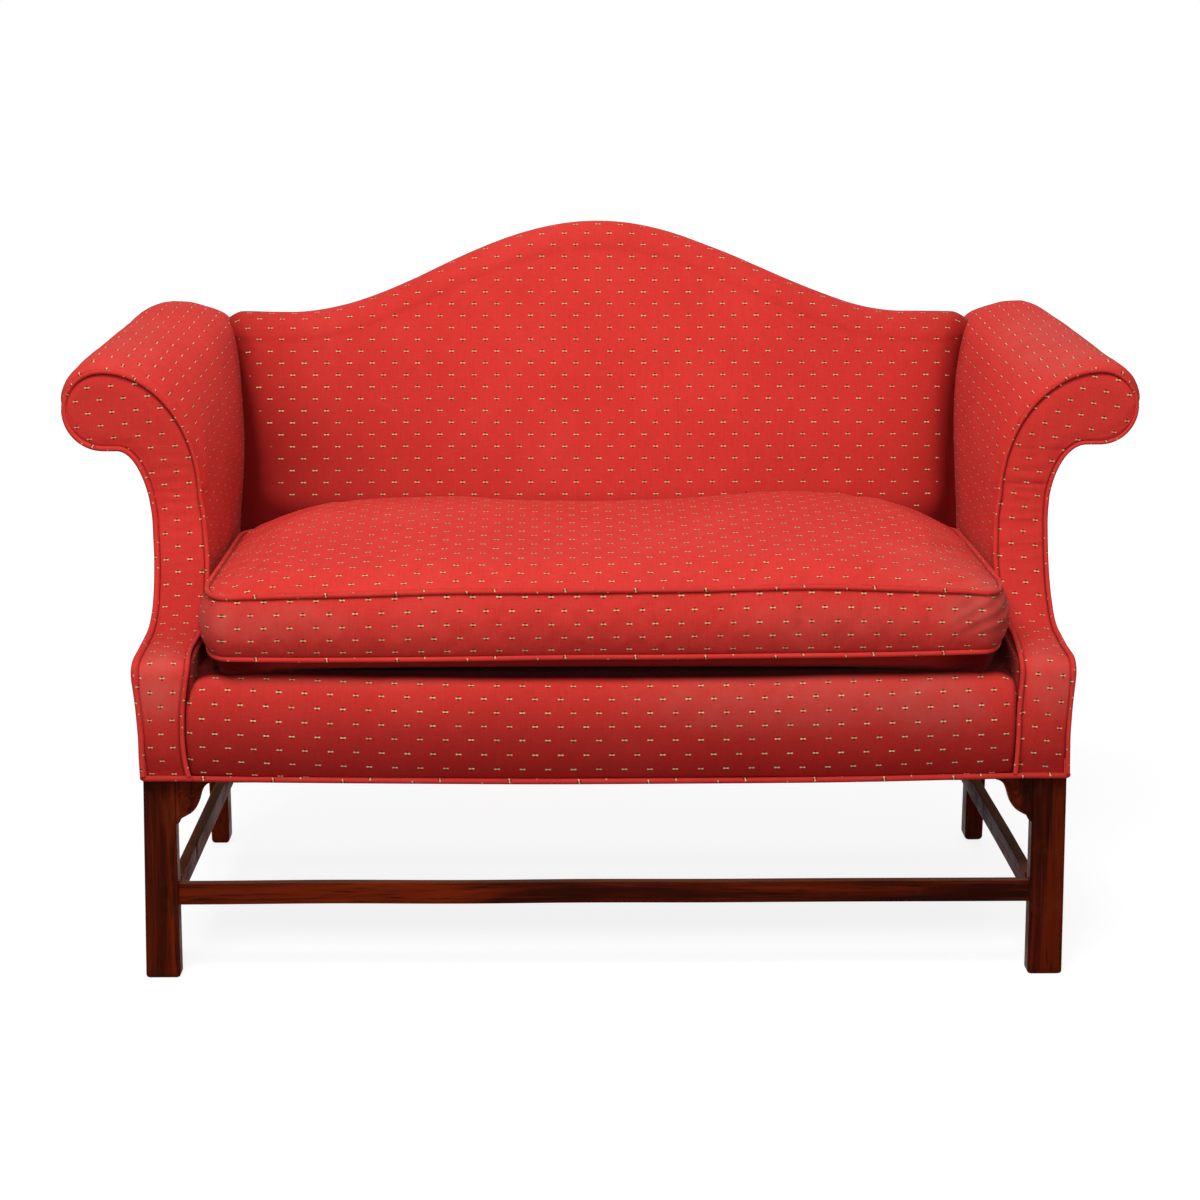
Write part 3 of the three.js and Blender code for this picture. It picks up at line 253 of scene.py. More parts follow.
class Value:
    """A socket's value. Python's operators on values and numbers add Math nodes."""

    def __init__(self, finish, socket):
        self.finish, self.socket = finish, socket

    def math(self, operation, *inputs):
        """A Math node's value."""
        return self.finish.node("ShaderNodeMath", {"operation": operation}, dict(enumerate(inputs)))

    __add__ = __radd__ = maths("ADD")
    __sub__ = maths("SUBTRACT")
    __rsub__ = reflected("SUBTRACT")
    __mul__ = __rmul__ = maths("MULTIPLY")
    __truediv__ = maths("DIVIDE")
    __rtruediv__ = reflected("DIVIDE")
    __pow__ = maths("POWER")
    __mod__ = maths("FLOORED_MODULO")
    least = maths("MINIMUM")
    most = maths("MAXIMUM")

    def __abs__(self):
        return self.math("ABSOLUTE", self)

    def floor(self):
        """The whole number below."""
        return self.math("FLOOR", self)

    def fraction(self):
        """What is over the whole number below."""
        return self.math("FRACT", self)

    def wave(self, length):
        """Sine wave that repeats every length."""
        return self.math("SINE", self * (2 * math.pi / length))

    def rise(self, low, high):
        """Smooth step from 0 at low to 1 at high; the other way round when low is the larger."""
        settings = {"interpolation_type": "SMOOTHSTEP"}
        if low < high:
            return self.finish.node("ShaderNodeMapRange", settings, {0: self, 1: low, 2: high, 3: 0, 4: 1})
        return self.finish.node("ShaderNodeMapRange", settings, {0: self, 1: high, 2: low, 3: 1, 4: 0})


class Finish:
    """The nodes of one material, or of the sky."""

    def __init__(self, owner):
        self.owner = owner
        owner.use_nodes = True
        self.tree = owner.node_tree
        self.tree.nodes.clear()

    def node(self, kind, settings=None, inputs=None, output=0):
        """Adds a node of any type: its settings are set first, then each input gets a number, colour or
        value."""
        made = self.tree.nodes.new(kind)
        for key, setting in (settings or {}).items():
            setattr(made, key, setting)
        for key, given in (inputs or {}).items():
            if isinstance(given, Value):
                self.tree.links.new(given.socket, made.inputs[key])
            else:
                made.inputs[key].default_value = given
        return Value(self, made.outputs[output])

    def parts(self, vector):
        """The three parts of a vector."""
        split = self.node("ShaderNodeSeparateXYZ", inputs={0: vector})
        return [Value(self, socket) for socket in split.socket.node.outputs]

    def vector(self, x, y, z):
        """A vector of three values."""
        return self.node("ShaderNodeCombineXYZ", inputs={0: x, 1: y, 2: z})

    def noise(self, vector, scale, detail=2.0, roughness=0.5, distortion=0.0):
        """Fractal noise around 0.5."""
        inputs = {"Vector": vector, "Scale": scale, "Detail": detail, "Roughness": roughness,
                  "Distortion": distortion}
        return self.node("ShaderNodeTexNoise", inputs=inputs)

    def blend(self, share, first, second, mode="MIX"):
        """Colour between two by a share."""
        paint = [tuple(c) + (1.0,) if isinstance(c, tuple) else c for c in (first, second)]
        settings = {"data_type": "RGBA", "blend_type": mode}
        return self.node("ShaderNodeMix", settings, {0: share, 6: paint[0], 7: paint[1]}, output=2)

    def toned(self, colour, tone):
        """A colour made lighter or darker by one value."""
        return self.blend(1.0, colour, self.vector(tone, tone, tone), "MULTIPLY")

    def cloth_places(self, uv_map="cloth"):
        """Places on the cloth, or another map of the piece, as separate values."""
        return self.parts(self.node("ShaderNodeUVMap", {"uv_map": uv_map}))

    def object_places(self):
        """Places in the object's own metres."""
        return self.node("ShaderNodeTexCoord", output=3)

    def seen_by(self, *rays):
        """1 for these kinds of light path, 0 for all others."""
        seen = self.node("ShaderNodeLightPath", output=rays[0])
        for ray in rays[1:]:
            seen = seen.most(self.node("ShaderNodeLightPath", output=ray))
        return seen

    def surface(self, colour, roughness, normal=None, **constants):
        """Principled surface with those links and constant settings, put on the output."""
        inputs = {"Base Color": colour, "Roughness": roughness, **constants}
        if normal is not None:
            inputs["Normal"] = normal
        self.onto_output(self.node("ShaderNodeBsdfPrincipled", inputs=inputs))
        return self.owner

    def onto_output(self, shader, kind="ShaderNodeOutputMaterial"):
        """Links a shader to a new output node."""
        out = self.tree.nodes.new(kind)
        self.tree.links.new(shader.socket, out.inputs[0])

    def bump(self, height, distance, strength=1.0):
        """Normal of a height."""
        inputs = {"Strength": strength, "Distance": distance, "Height": height}
        return self.node("ShaderNodeBump", inputs=inputs)


def motif_masks(finish, u, v):
    """The woven bow tie in a half-drop repeat: a cream bar, waisted at its middle, with a dark float above
    and below it. Rows lie ROW apart and every other row is moved along by half of REPEAT."""
    row = (v / ROW).floor()
    along = u / REPEAT + (row % 2) * 0.5
    column = along.floor()
    across = (along.fraction() - 0.5) * REPEAT
    up = ((v / ROW).fraction() - 0.5) * ROW
    chance = finish.node("ShaderNodeTexWhiteNoise", {"noise_dimensions": "2D"},
                         {"Vector": finish.vector(row, column, 0)})
    width = abs(across)
    height = abs(up)
    bar = width.rise(0.0039, 0.0033) * height.rise(0.00105, 0.00055)
    waist = width.rise(0.0004, 0.0012) * 0.55 + 0.45
    dark = width.rise(0.0018, 0.0010) * height.rise(0.0030, 0.0023) * (1 - bar * 0.92)
    return bar * waist, dark, chance


def crimson_cloth(name, faded_and_sheen=(), painted_shade_below=None, wear=0.35):
    """Crimson weave: ribs of fine thread across and along the cloth, slubs, slow colour drift, the cream
    and dark motif, and soft faded patches, each given as a middle (x, y, z), its radii, and its strength.
    On the arms' tops these patches are partly painted sheen. The second UV map darkens the cloth as painted
    shade and hides the motif where it is deep. Painted shade below: two heights between which the cloth darkens
    downwards as painted shade, and what is left of red, green and blue below them."""
    finish = Finish(bpy.data.materials.new(name))
    u, v, _ = finish.cloth_places()
    place = finish.object_places()
    bar, dark, chance = motif_masks(finish, u, v)

    thread_u = u.wave(0.00085)
    thread_v = v.wave(0.00065)
    slub_across = finish.noise(finish.vector(u * 60, v * 1500, 0), 1.0, 1.0)
    slub_along = finish.noise(finish.vector(u * 1100, v * 45, 3.7), 1.0, 1.0)
    cloudy = finish.noise(place, 5.5, 3.0, 0.55)
    blotchy = finish.noise(place, 34.0, 3.0, 0.6)

    tone = (slub_across - 0.5) * 0.34 + (slub_along - 0.5) * 0.26 + thread_v * 0.03 + thread_u * 0.02
    tone = tone + (cloudy - 0.5) * 0.26 + (blotchy - 0.5) * 0.10 + 1.0
    red = finish.toned(CRIMSON, tone)
    x, y, z = finish.parts(place)
    # Faded cloth at random and in the given patches; the patches on the arms' tops are partly painted sheen
    fade_and_sheen = (cloudy.rise(0.50, 0.78) + blotchy.rise(0.45, 0.8) * 0.4) * wear * 0.32
    for middle, radii, strength in faded_and_sheen:
        far = ((x - middle[0]) / radii[0]) ** 2 + ((y - middle[1]) / radii[1]) ** 2
        far = far + ((z - middle[2]) / radii[2]) ** 2
        fade_and_sheen = fade_and_sheen + far.rise(1.0, 0.05) * (0.55 + (blotchy - 0.5) * 1.1) * strength
    red = finish.blend(fade_and_sheen.least(0.85), red, CRIMSON_FADED_AND_SHEEN)
    # Painted shade: by the second UV map the cloth is coloured darker, towards a deep crimson, where shade
    # falls
    painted_shade = finish.cloth_places("painted_shade")[0]
    red = finish.blend(painted_shade.least(1.0), red, CRIMSON_PAINTED_SHADE)
    # Painted shade: the cloth darkens downwards between the two heights
    if painted_shade_below:
        low, high, left = painted_shade_below
        shade = z.rise(low, high)
        red = finish.blend(1.0, red, finish.vector(*[shade * (1 - part) + part for part in left]), "MULTIPLY")

    thread = 0.86 + (slub_across - 0.5) * 0.5 + (chance - 0.5) * 0.16
    # Where the painted shade is deep, the motif is hidden under it too
    clear = painted_shade.rise(0.72, 0.64)
    colour = finish.blend(dark * 0.92 * clear, red, MOTIF_DARK)
    colour = finish.blend(bar * (0.90 + (chance - 0.5) * 0.2) * clear, colour, finish.toned(CREAM, thread))

    height = thread_u * 0.22 + thread_v * 0.30 + (slub_across - 0.5) * 1.1 + (slub_along - 0.5) * 0.8
    height = height + bar * 0.9 + (blotchy - 0.5) * 0.7
    normal = finish.bump(height, 0.00016, 0.75)
    roughness = 0.84 + (cloudy - 0.5) * 0.12 - bar * 0.12
    sheen = {"Sheen Weight": 0.05, "Sheen Roughness": 0.35, "Sheen Tint": (1.0, 0.62, 0.56, 1.0)}
    return finish.surface(colour, roughness, normal, **sheen, **{"Specular IOR Level": 0.06})


def grained(finish, axes, grain, across, along, *noise):
    """Noise drawn out along the grain: each axis is scaled first, by along on the grain's and by across on
    the other two."""
    stretch = [across, across, across]
    stretch[grain] = along
    return finish.noise(finish.vector(*[a * s for a, s in zip(axes, stretch)]), 1.0, *noise)


def mahogany(name, grain, dust=0.0, gloss=0.025):
    """Polished mahogany, its grain along one axis: long wavy figure, short dark pores, red lights, rubbed
    places, and dust on faces that look up. Painted light makes it paler towards the object's left, the side the
    key lamp comes from."""
    finish = Finish(bpy.data.materials.new(name))
    place = finish.object_places()
    axes = finish.parts(place)
    figure = grained(finish, axes, grain, 26.0, 1.9, 4.0, 0.62, 0.9)
    pores = grained(finish, axes, grain, 420.0, 16.0, 2.0, 0.6)
    streaks = grained(finish, axes, grain, 160.0, 5.0, 3.0, 0.6, 0.4)
    rubbed = finish.noise(place, 19.0, 4.0, 0.65)
    colour = finish.blend(figure.rise(0.34, 0.66), MAHOGANY_DARK, MAHOGANY)
    # Painted light: paler towards the object's left, the side of the key lamp
    colour = finish.toned(colour, 1.20 - axes[0] * 0.62)
    colour = finish.blend(streaks.rise(0.52, 0.74) * 0.55, colour, (0.125, 0.016, 0.006))
    colour = finish.blend(pores.rise(0.44, 0.30) * 0.75, colour, (0.008, 0.003, 0.002))
    colour = finish.blend(rubbed.rise(0.56, 0.78) * 0.22, colour, (0.15, 0.034, 0.012))
    roughness = 0.38 + rubbed.rise(0.4, 0.75) * 0.2 + pores.rise(0.5, 0.3) * 0.12
    if dust:
        up = finish.parts(finish.node("ShaderNodeNewGeometry", output=1))[2]
        film = up.rise(0.55, 0.95) * (0.55 + (rubbed - 0.5) * 0.9 + (streaks - 0.5) * 0.6) * dust
        colour = finish.blend(film.least(0.9), colour, DUST)
        roughness = roughness + film * 0.4
    height = (pores - 0.5) * 0.9 + (streaks - 0.5) * 0.8 + (rubbed - 0.5) * 0.9
    normal = finish.bump(height, 0.00022, 0.6)
    return finish.surface(colour, roughness, normal, **{"Specular IOR Level": gloss})


def sawn_timber(name):
    """Bare beech: long pale grain with short darker flecks and saw marks."""
    finish = Finish(bpy.data.materials.new(name))
    x, y, z = finish.parts(finish.object_places())
    grain = finish.noise(finish.vector(x * 6, y * 40, z * 40), 1.0, 4.0, 0.6, 0.6)
    flecks = finish.noise(finish.vector(x * 60, y * 420, z * 420), 1.0, 1.0)
    saw = finish.noise(finish.vector(x * 350, y * 8, z * 8), 1.0, 1.0)
    colour = finish.blend(grain.rise(0.3, 0.7), (0.36, 0.21, 0.10), (0.56, 0.38, 0.21))
    colour = finish.blend(flecks.rise(0.6, 0.75) * 0.5, colour, (0.22, 0.11, 0.05))
    normal = finish.bump((grain - 0.5) + (saw - 0.5) * 0.6, 0.0003, 0.5)
    return finish.surface(colour, 0.62 + (grain - 0.5) * 0.2, normal)


def jute_cloth(name):
    """Jute: coarse plain weave of brown yarn, a dark stripe of thread every so often."""
    finish = Finish(bpy.data.materials.new(name))
    x, y, z = finish.parts(finish.object_places())
    warp = x.wave(0.0032)
    weft = (y + z).wave(0.0032)
    hairy = finish.noise(finish.vector(x * 500, y * 500, z * 500), 1.0, 2.0)
    colour = finish.toned((0.36, 0.24, 0.12), 0.82 + warp * weft * 0.2 + (hairy - 0.5) * 0.5)
    normal = finish.bump(warp * weft * 0.5 + hairy, 0.0006, 0.7)
    return finish.surface(colour, 0.92 + (hairy - 0.5) * 0.1, normal)


def spring_wire(name):
    """Dull drawn wire with patches of brown rust."""
    finish = Finish(bpy.data.materials.new(name))
    place = finish.object_places()
    rust = finish.noise(place, 60.0, 4.0, 0.7).rise(0.5, 0.7)
    scratches = finish.noise(place, 700.0, 2.0)
    colour = finish.blend(rust * 0.7, (0.32, 0.32, 0.33), (0.16, 0.07, 0.03))
    roughness = 0.35 + rust * 0.4 + (scratches - 0.5) * 0.2
    return finish.surface(colour, roughness, finish.bump(scratches, 0.0001, 0.4), Metallic=0.85)


def black_cambric(name):
    """Thin black dust cloth: fine open weave, greyed with dust."""
    finish = Finish(bpy.data.materials.new(name))
    x, y, _ = finish.parts(finish.object_places())
    weave = x.wave(0.0011) * y.wave(0.0011)
    dusty = finish.noise(finish.vector(x * 9, y * 9, 0), 1.0, 4.0, 0.6)
    colour = finish.blend(dusty.rise(0.4, 0.75) * 0.5, (0.012, 0.012, 0.013), (0.05, 0.045, 0.04))
    return finish.surface(colour, 0.93 + weave * 0.04, finish.bump(weave + dusty, 0.0003, 0.5))


def pale_floor(name):
    """Pale floor: white to the camera and in reflections apart from the object's soft shadow, a dull grey
    to the light that it would throw back up at the object."""
    finish = Finish(bpy.data.materials.new(name))
    seen = finish.seen_by("Is Camera Ray", "Is Glossy Ray", "Is Transmission Ray")
    x, y, _ = finish.parts(finish.object_places())
    far = (x * x + y * y) ** 0.5
    lit = finish.node("ShaderNodeBsdfDiffuse", inputs={"Color": (0.30, 0.30, 0.30, 1)})
    strength = 0.84 + far.rise(1.2, 3.5) * 0.2
    glow = finish.node("ShaderNodeEmission", inputs={"Color": (1, 1, 1, 1), "Strength": strength})
    bright = finish.node("ShaderNodeAddShader", inputs={0: lit, 1: glow})
    finish.onto_output(finish.node("ShaderNodeMixShader", inputs={0: seen, 1: lit, 2: bright}))
    return finish.owner


def resample(points, count):
    """The same line with count points at even steps of its length."""
    steps = np.linalg.norm(np.diff(points, axis=0), axis=1)
    length = np.concatenate([[0], np.cumsum(steps)])
    wanted = np.linspace(0, length[-1], count)
    return np.stack([np.interp(wanted, length, points[:, k]) for k in range(points.shape[1])], -1)


def through(points, count):
    """Smooth line through points by Catmull-Rom pieces, with count points at even steps of its length."""
    points = np.asarray(points, float)
    padded = np.concatenate([2 * points[:1] - points[1:2], points, 2 * points[-1:] - points[-2:-1]])
    t = np.linspace(0, 1, 24, endpoint=False)[:, None, None]
    a, b, c, d = (padded[i:len(padded) - 3 + i][None] for i in range(4))
    curve = 0.5 * (2 * b + (c - a) * t + (2 * a - 5 * b + 4 * c - d) * t ** 2
                   + (3 * b - a - 3 * c + d) * t ** 3)
    line = np.concatenate([curve.transpose(1, 0, 2).reshape(-1, points.shape[1]), points[-1:]])
    return resample(line, count)


def lengths(points, axis):
    """Distance along a grid's rows or columns from their start."""
    steps = np.linalg.norm(np.diff(points, axis=axis), axis=-1)
    total = np.cumsum(steps, axis=axis)
    pad = [(0, 0), (0, 0)]
    pad[axis] = (1, 0)
    return np.pad(total, pad)


def ripple(u, v, size, seed, waves=9):
    """Soft unevenness between about -1 and 1: sine waves about size long in seeded directions, added up."""
    rng = np.random.default_rng(seed)
    angles = rng.uniform(0, np.pi, waves)
    phases = rng.uniform(0, 2 * np.pi, waves)
    sizes = size * rng.uniform(0.6, 1.7, waves)
    total = np.zeros(np.broadcast(u, v).shape)
    for angle, phase, length in zip(angles, phases, sizes):
        total += np.sin(2 * np.pi / length * (u * np.cos(angle) + v * np.sin(angle)) + phase)
    return total / math.sqrt(waves) / 1.3


def ramp(value, low, high):
    """Smooth step from 0 at low to 1 at high."""
    t = np.clip((value - low) / (high - low), 0, 1)
    return t * t * (3 - 2 * t)


def unit(vectors):
    """A row of vectors, each divided by its length."""
    return vectors / np.linalg.norm(vectors, axis=1, keepdims=True)


def outwards(ring):
    """Outward directions of a closed plan that runs anticlockwise: each corner's tangent, from the one
    before to the one after, turned by a right angle."""
    tangent = np.roll(ring, -1, axis=0) - np.roll(ring, 1, axis=0)
    return unit(np.stack([tangent[:, 1], -tangent[:, 0]], -1))


def normals(points):
    """Unit normals of a grid of points."""
    across = np.cross(np.gradient(points, axis=0), np.gradient(points, axis=1))
    return across / np.maximum(np.linalg.norm(across, axis=-1, keepdims=True), 1e-12)


def pushed(outer, inner, amount):
    """The outer grid moved along its normals, away from the inner grid, by an amount at each point."""
    out = normals(outer)
    side = np.sign(np.sum(out * (outer - inner), axis=-1, keepdims=True))
    return outer + out * side * np.asarray(amount)[..., None]


def shell(outer, inner, places):
    """Closed pad between an outer and an inner grid: both skins and the four edges between them."""
    patches = [(outer, places), (inner, places)]
    edges = [(slice(0, 1), slice(None)), (slice(-1, None), slice(None)),
             (slice(None), slice(0, 1)), (slice(None), slice(-1, None))]
    for k, cut in enumerate(edges):
        strip = np.concatenate([outer[cut], inner[cut]], axis=k // 2)
        width = np.linalg.norm(outer[cut] - inner[cut], axis=-1, keepdims=True)
        reach = np.where(np.arange(2) == (1 if k < 2 else 0), width, 0)
        shift = np.concatenate([reach, reach, reach * 0], -1)[..., :places.shape[-1]]
        patches.append((strip, np.concatenate([places[cut], places[cut] + shift], axis=k // 2)))
    return patches


def with_painted_shade(places, painted_shade):
    """Cloth places with the painted shade as their third part."""
    return np.concatenate([places, painted_shade[..., None]], -1)


def on_side(patches, side):
    """Patches made for the right, put on that side: x times 1 or -1."""
    return [(points * np.array([side, 1, 1]), places) for points, places in patches]


def closed_below(grid):
    """A tube closed at its low end by one more row, gathered at that end's middle. Its high end stays open
    inside the piece that it runs into."""
    middle = np.repeat(grid[:1].mean(1, keepdims=True), grid.shape[1], 1)
    grid = np.concatenate([middle, grid])
    return [(grid, np.stack([lengths(grid, 1), lengths(grid, 0)], -1))]


def piece(name, patches, finish, replaces, body="sofa", sharp=38):
    """One object from grids of points and their cloth places. Corners in one place are merged, faces turned
    outwards, and edges sharper than the angle stay sharp."""
    mesh = joined_mesh(name, patches)
    mesh.polygons.foreach_set("use_smooth", np.ones(len(mesh.polygons), bool))
    mesh.set_sharp_from_angle(angle=math.radians(sharp))
    made = placed(name, mesh)
    made.data.materials.append(finish)
    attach(made, body)
    if replaces:
        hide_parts(*replaces)


def joined_mesh(name, patches):
    """One mesh from grids: every cell is a four-sided face, and corners nearer than 2 microns become one."""
    corners, places, faces = [], [], []
    start = 0
    for points, spots in patches:
        rows, cols = points.shape[:2]
        index = start + np.arange(rows * cols).reshape(rows, cols)
        cell = np.stack([index[:-1, :-1], index[:-1, 1:], index[1:, 1:], index[1:, :-1]], -1)
        faces.append(cell.reshape(-1, 4))
        corners.append(points.reshape(-1, 3))
        plain = np.zeros((rows, cols, 3))
        plain[..., :spots.shape[-1]] = spots
        places.append(plain.reshape(-1, 3))
        start += rows * cols
    faces = np.concatenate(faces)
    mesh = bpy.data.meshes.new(name)
    mesh.from_pydata(np.concatenate(corners).tolist(), [], faces.tolist())
    spots = np.concatenate(places)[faces.ravel()]
    mesh.uv_layers.new(name="cloth").data.foreach_set("uv", spots[:, :2].ravel())
    # The second map carries each point's painted shade in its first part
    mesh.uv_layers.new(name="painted_shade").data.foreach_set("uv", (spots[:, 2:] * [1, 0]).ravel())
    work = bmesh.new()
    work.from_mesh(mesh)
    bmesh.ops.remove_doubles(work, verts=work.verts, dist=2e-6)
    bmesh.ops.recalc_face_normals(work, faces=work.faces)
    work.to_mesh(mesh)
    work.free()
    return mesh


def corner_places(mesh):
    """The mesh's corners as rows of x, y and z."""
    spots = np.empty(len(mesh.vertices) * 3)
    mesh.vertices.foreach_get("co", spots)
    return spots.reshape(-1, 3)


def camel_top(x):
    """Height of the back's top edge: a raised cosine bell over level shoulders, made a little fuller."""
    bell = (1 + np.cos(np.pi * np.minimum(np.abs(x) / CREST_REACH, 1))) / 2
    return SHOULDER + (CREST_TOP - SHOULDER) * bell ** CREST_FULLNESS


def back_line(z):
    """Depth of the back frame's rear face: upright at the rail, leaning above it."""
    return POST_BACK + np.maximum(0, z - RAIL_TOP) * BACK_LEAN


def face_line():
    """Side view of the facing's front, as depth and height: upright, over the knuckle by a quadratic curve,
    back along the sweep, and up by a cubic curve into the upright scroll part."""
    t = np.linspace(0, 1, 40)[:, None]
    slope = SWEEP_RISE / SWEEP_RUN
    handle = (SETBACK - SWEEP_RUN) * SWEEP_HANDLE
    low, corner = np.array([COVER_FRONT, KNUCKLE - KNUCKLE_RADIUS]), np.array([COVER_FRONT, KNUCKLE])
    over = np.array([COVER_FRONT + KNUCKLE_RADIUS, KNUCKLE + KNUCKLE_RADIUS * slope])
    round_over = low * (1 - t) ** 2 + 2 * corner * t * (1 - t) + over * t ** 2
    a = np.array([SWEEP_RUN, KNUCKLE + SWEEP_RISE])
    b = a + np.array([handle, handle * slope])
    c = np.array([SETBACK, SWEEP_TOP - (SWEEP_TOP - KNUCKLE) / 2])
    d = np.array([SETBACK, SWEEP_TOP])
    sweep = a * (1 - t) ** 3 + 3 * b * t * (1 - t) ** 2 + 3 * c * t ** 2 * (1 - t) + d * t ** 3
    foot = np.array([[COVER_FRONT, COVER_BOTTOM]])
    return np.concatenate([foot, round_over, sweep, [[SETBACK, 1.0]]])


FACE = resample(face_line(), 900)


def face_depth(z):
    """Depth of the facing's line at a height."""
    return np.interp(z, FACE[:, 1], FACE[:, 0])


def face_normal(z):
    """Outward direction of the facing in the side view, as depth and height parts."""
    tangent = unit(np.gradient(FACE, axis=0))
    return -np.interp(z, FACE[:, 1], tangent[:, 1]), np.interp(z, FACE[:, 1], tangent[:, 0])


def arm_sizes(depth, side):
    """Sizes of the arm's section at a depth, mixed evenly from front to back, with the roll bowed up
    between."""
    share = min(max((depth - SETBACK) / (back_line(SHOULDER) - SETBACK), 0), 1)
    front = ARM_FRONT[side]
    sizes = {key: front[key] + (ARM_BACK[key] - front[key]) * share for key in front}
    sizes["apex_z"] += ARM_BOW[side] * 4 * share * (1 - share)
    sizes["share"] = share
    return sizes


def arm_skin(depth, side, inset=0.0, turn=math.pi):
    """Line of the inner cover: up the wall, a superellipse quarter over the top, a circle round the scroll.
    Towards the back the quarter goes over into a steeper shoulder with a sloping top."""
    s = arm_sizes(depth, side)
    a = np.linspace(0, math.pi / 2, 60)
    b = np.linspace(0, turn, 50)[1:]
    power = 2 / s["fullness"]
    wall_x = s["apex_x"] - (s["apex_x"] - s["wall_x"] - inset) * np.maximum(np.cos(a), 0) ** power
    wall_z = s["wall_z"] + (s["apex_z"] - s["wall_z"] - inset) * np.sin(a) ** power
    shoulder = through(ARM_BACK_TOP, 60) + [0, s["apex_z"] - ARM_BACK_TOP[-1][1]]
    quarter = resample(np.stack([wall_x, wall_z], -1), 60)
    rising, falling = np.linspace(0, 1, 60)[:, None], np.linspace(1, 0, 60)[:, None]
    shoulder = shoulder + [inset, 0] * falling - [0, inset] * rising
    wall_x, wall_z = (quarter + (shoulder - quarter) * s["share"] ** 2).T
    roll_x = s["apex_x"] + (s["scroll"] - inset) * np.sin(b)
    roll_z = s["apex_z"] - s["scroll"] + (s["scroll"] - inset) * np.cos(b)
    foot = s["foot_x"] + inset
    x = np.concatenate([[foot, foot], wall_x, roll_x])
    z = np.concatenate([[PAD_BOTTOM, LIP_HEIGHT], wall_z, roll_z])
    return np.stack([x, z], -1)


def arm_neck(depth, side, inset=0.0):
    """Line of the outer side: upright, then a hollow elliptic quarter out to the underside of the scroll."""
    s = arm_sizes(depth, side)
    under = s["apex_z"] - s["scroll"] * 2
    reach = s["apex_x"] - s["neck_run"]
    a = np.linspace(0, math.pi / 2, 40)
    x = reach - (reach - s["neck_x"] + inset) * np.cos(a)
    z = under - s["neck_drop"] + (s["neck_drop"] + inset) * np.sin(a)
    return np.concatenate([[[COVER_SIDE - 0.003 - inset, COVER_BOTTOM]], np.stack([x, z], -1),
                           [[s["apex_x"], under + inset]]])


def arm_grid(profile, side, inset, rows, cols, lap):
    """Grid over the arm: a profile's points, at even steps of its length, carried from the facing to the
    back. Each row starts where the facing's line passes its height and ends on the leaning back line."""
    depths = np.linspace(SETBACK, back_line(SHOULDER), 30)
    table = np.stack([resample(profile(d, side, inset), rows) for d in depths])
    height = table[0, :, 1]
    knuckle = ramp(height, KNUCKLE - 0.004, KNUCKLE + 0.004) * ramp(height, 0.505, 0.465)
    start = face_depth(height) + lap + KNUCKLE_BEHIND * knuckle
    end = back_line(table[-1, :, 1])
    depth = start[:, None] + (end - start)[:, None] * np.linspace(0, 1, cols)
    place = np.clip((depth - SETBACK) / (depths[-1] - SETBACK), 0, 1) * (len(depths) - 1)
    low = np.minimum(place.astype(int), len(depths) - 2)
    part = (place - low)[..., None]
    row = np.arange(rows)[:, None]
    section = table[low, row] * (1 - part) + table[low + 1, row] * part
    return np.stack([section[..., 0], FRONT + depth, section[..., 1]], -1)


def inside_arm(side, seed):
    """Padded inner cover, rolled over the arm's top and round the scroll. The cloth runs front to back, and
    its places across are measured from the roll's top."""
    outer = arm_grid(arm_skin, side, 0.0, 150, 96, 0.0035)
    inner = arm_grid(arm_skin, side, ARM_PAD, 150, 96, 0.0035)
    across = lengths(outer, 0)
    column = np.arange(outer.shape[1])
    top = np.polyval(np.polyfit(column, across[np.argmax(outer[..., 2], 0), column], 3), column)
    places = np.stack([outer[..., 1] - FRONT, across - top + 0.7], -1)
    u, v = places[..., 0], places[..., 1]
    front_edge = outer[..., 1] - outer[:, :1, 1]
    back_edge = outer[:, -1:, 1] - outer[..., 1]
    soft = ripple(u, v, 0.16, seed) * 0.0011 + ripple(u, v, 0.05, seed + 1) * 0.00025
    outward = ramp(outer[..., 0], HALF + 0.03, HALF + 0.10) * ramp(outer[..., 2], 0.70, 0.73)
    full = 0.0040 + ARM_SWELL[side] * ramp(outer[..., 2], 0.50, 0.62)
    full = full + SCROLL_SWELL[side] * outward * ramp(front_edge, 0.26, 0.01)
    soon = 1 - (1 - np.minimum(1, front_edge / (0.060 - 0.038 * outward))) ** 2
    full = full * soon * (1 - (1 - np.minimum(1, back_edge / 0.08)) ** 2)
    drawn = full - 0.0006 * (1 - ramp(front_edge, 0.0, 0.010))
    puckers = np.sin(2 * np.pi * v / 0.019 + ripple(u, v, 0.1, seed + 2)) * 0.00028
    outer = pushed(outer, inner, soft + drawn + puckers * (1 - ramp(front_edge, 0.004, 0.030)))
    outer[..., 1] = np.maximum(outer[..., 1], FRONT + face_depth(outer[..., 2]) + 0.0032)
    # Painted shade along the front edge under the welt, low down beside the deck, and in the joint with the
    # back
    painted_shade = 0.55 * (1 - ramp(front_edge, 0.0, 0.005)) + 0.5 * (1 - ramp(outer[..., 2], DECK_TOP, 0.50))
    painted_shade = painted_shade + 0.6 * (1 - ramp(back_edge, 0.0, 0.006))
    return on_side(shell(outer, inner, with_painted_shade(places, np.minimum(painted_shade, 0.9))), side)


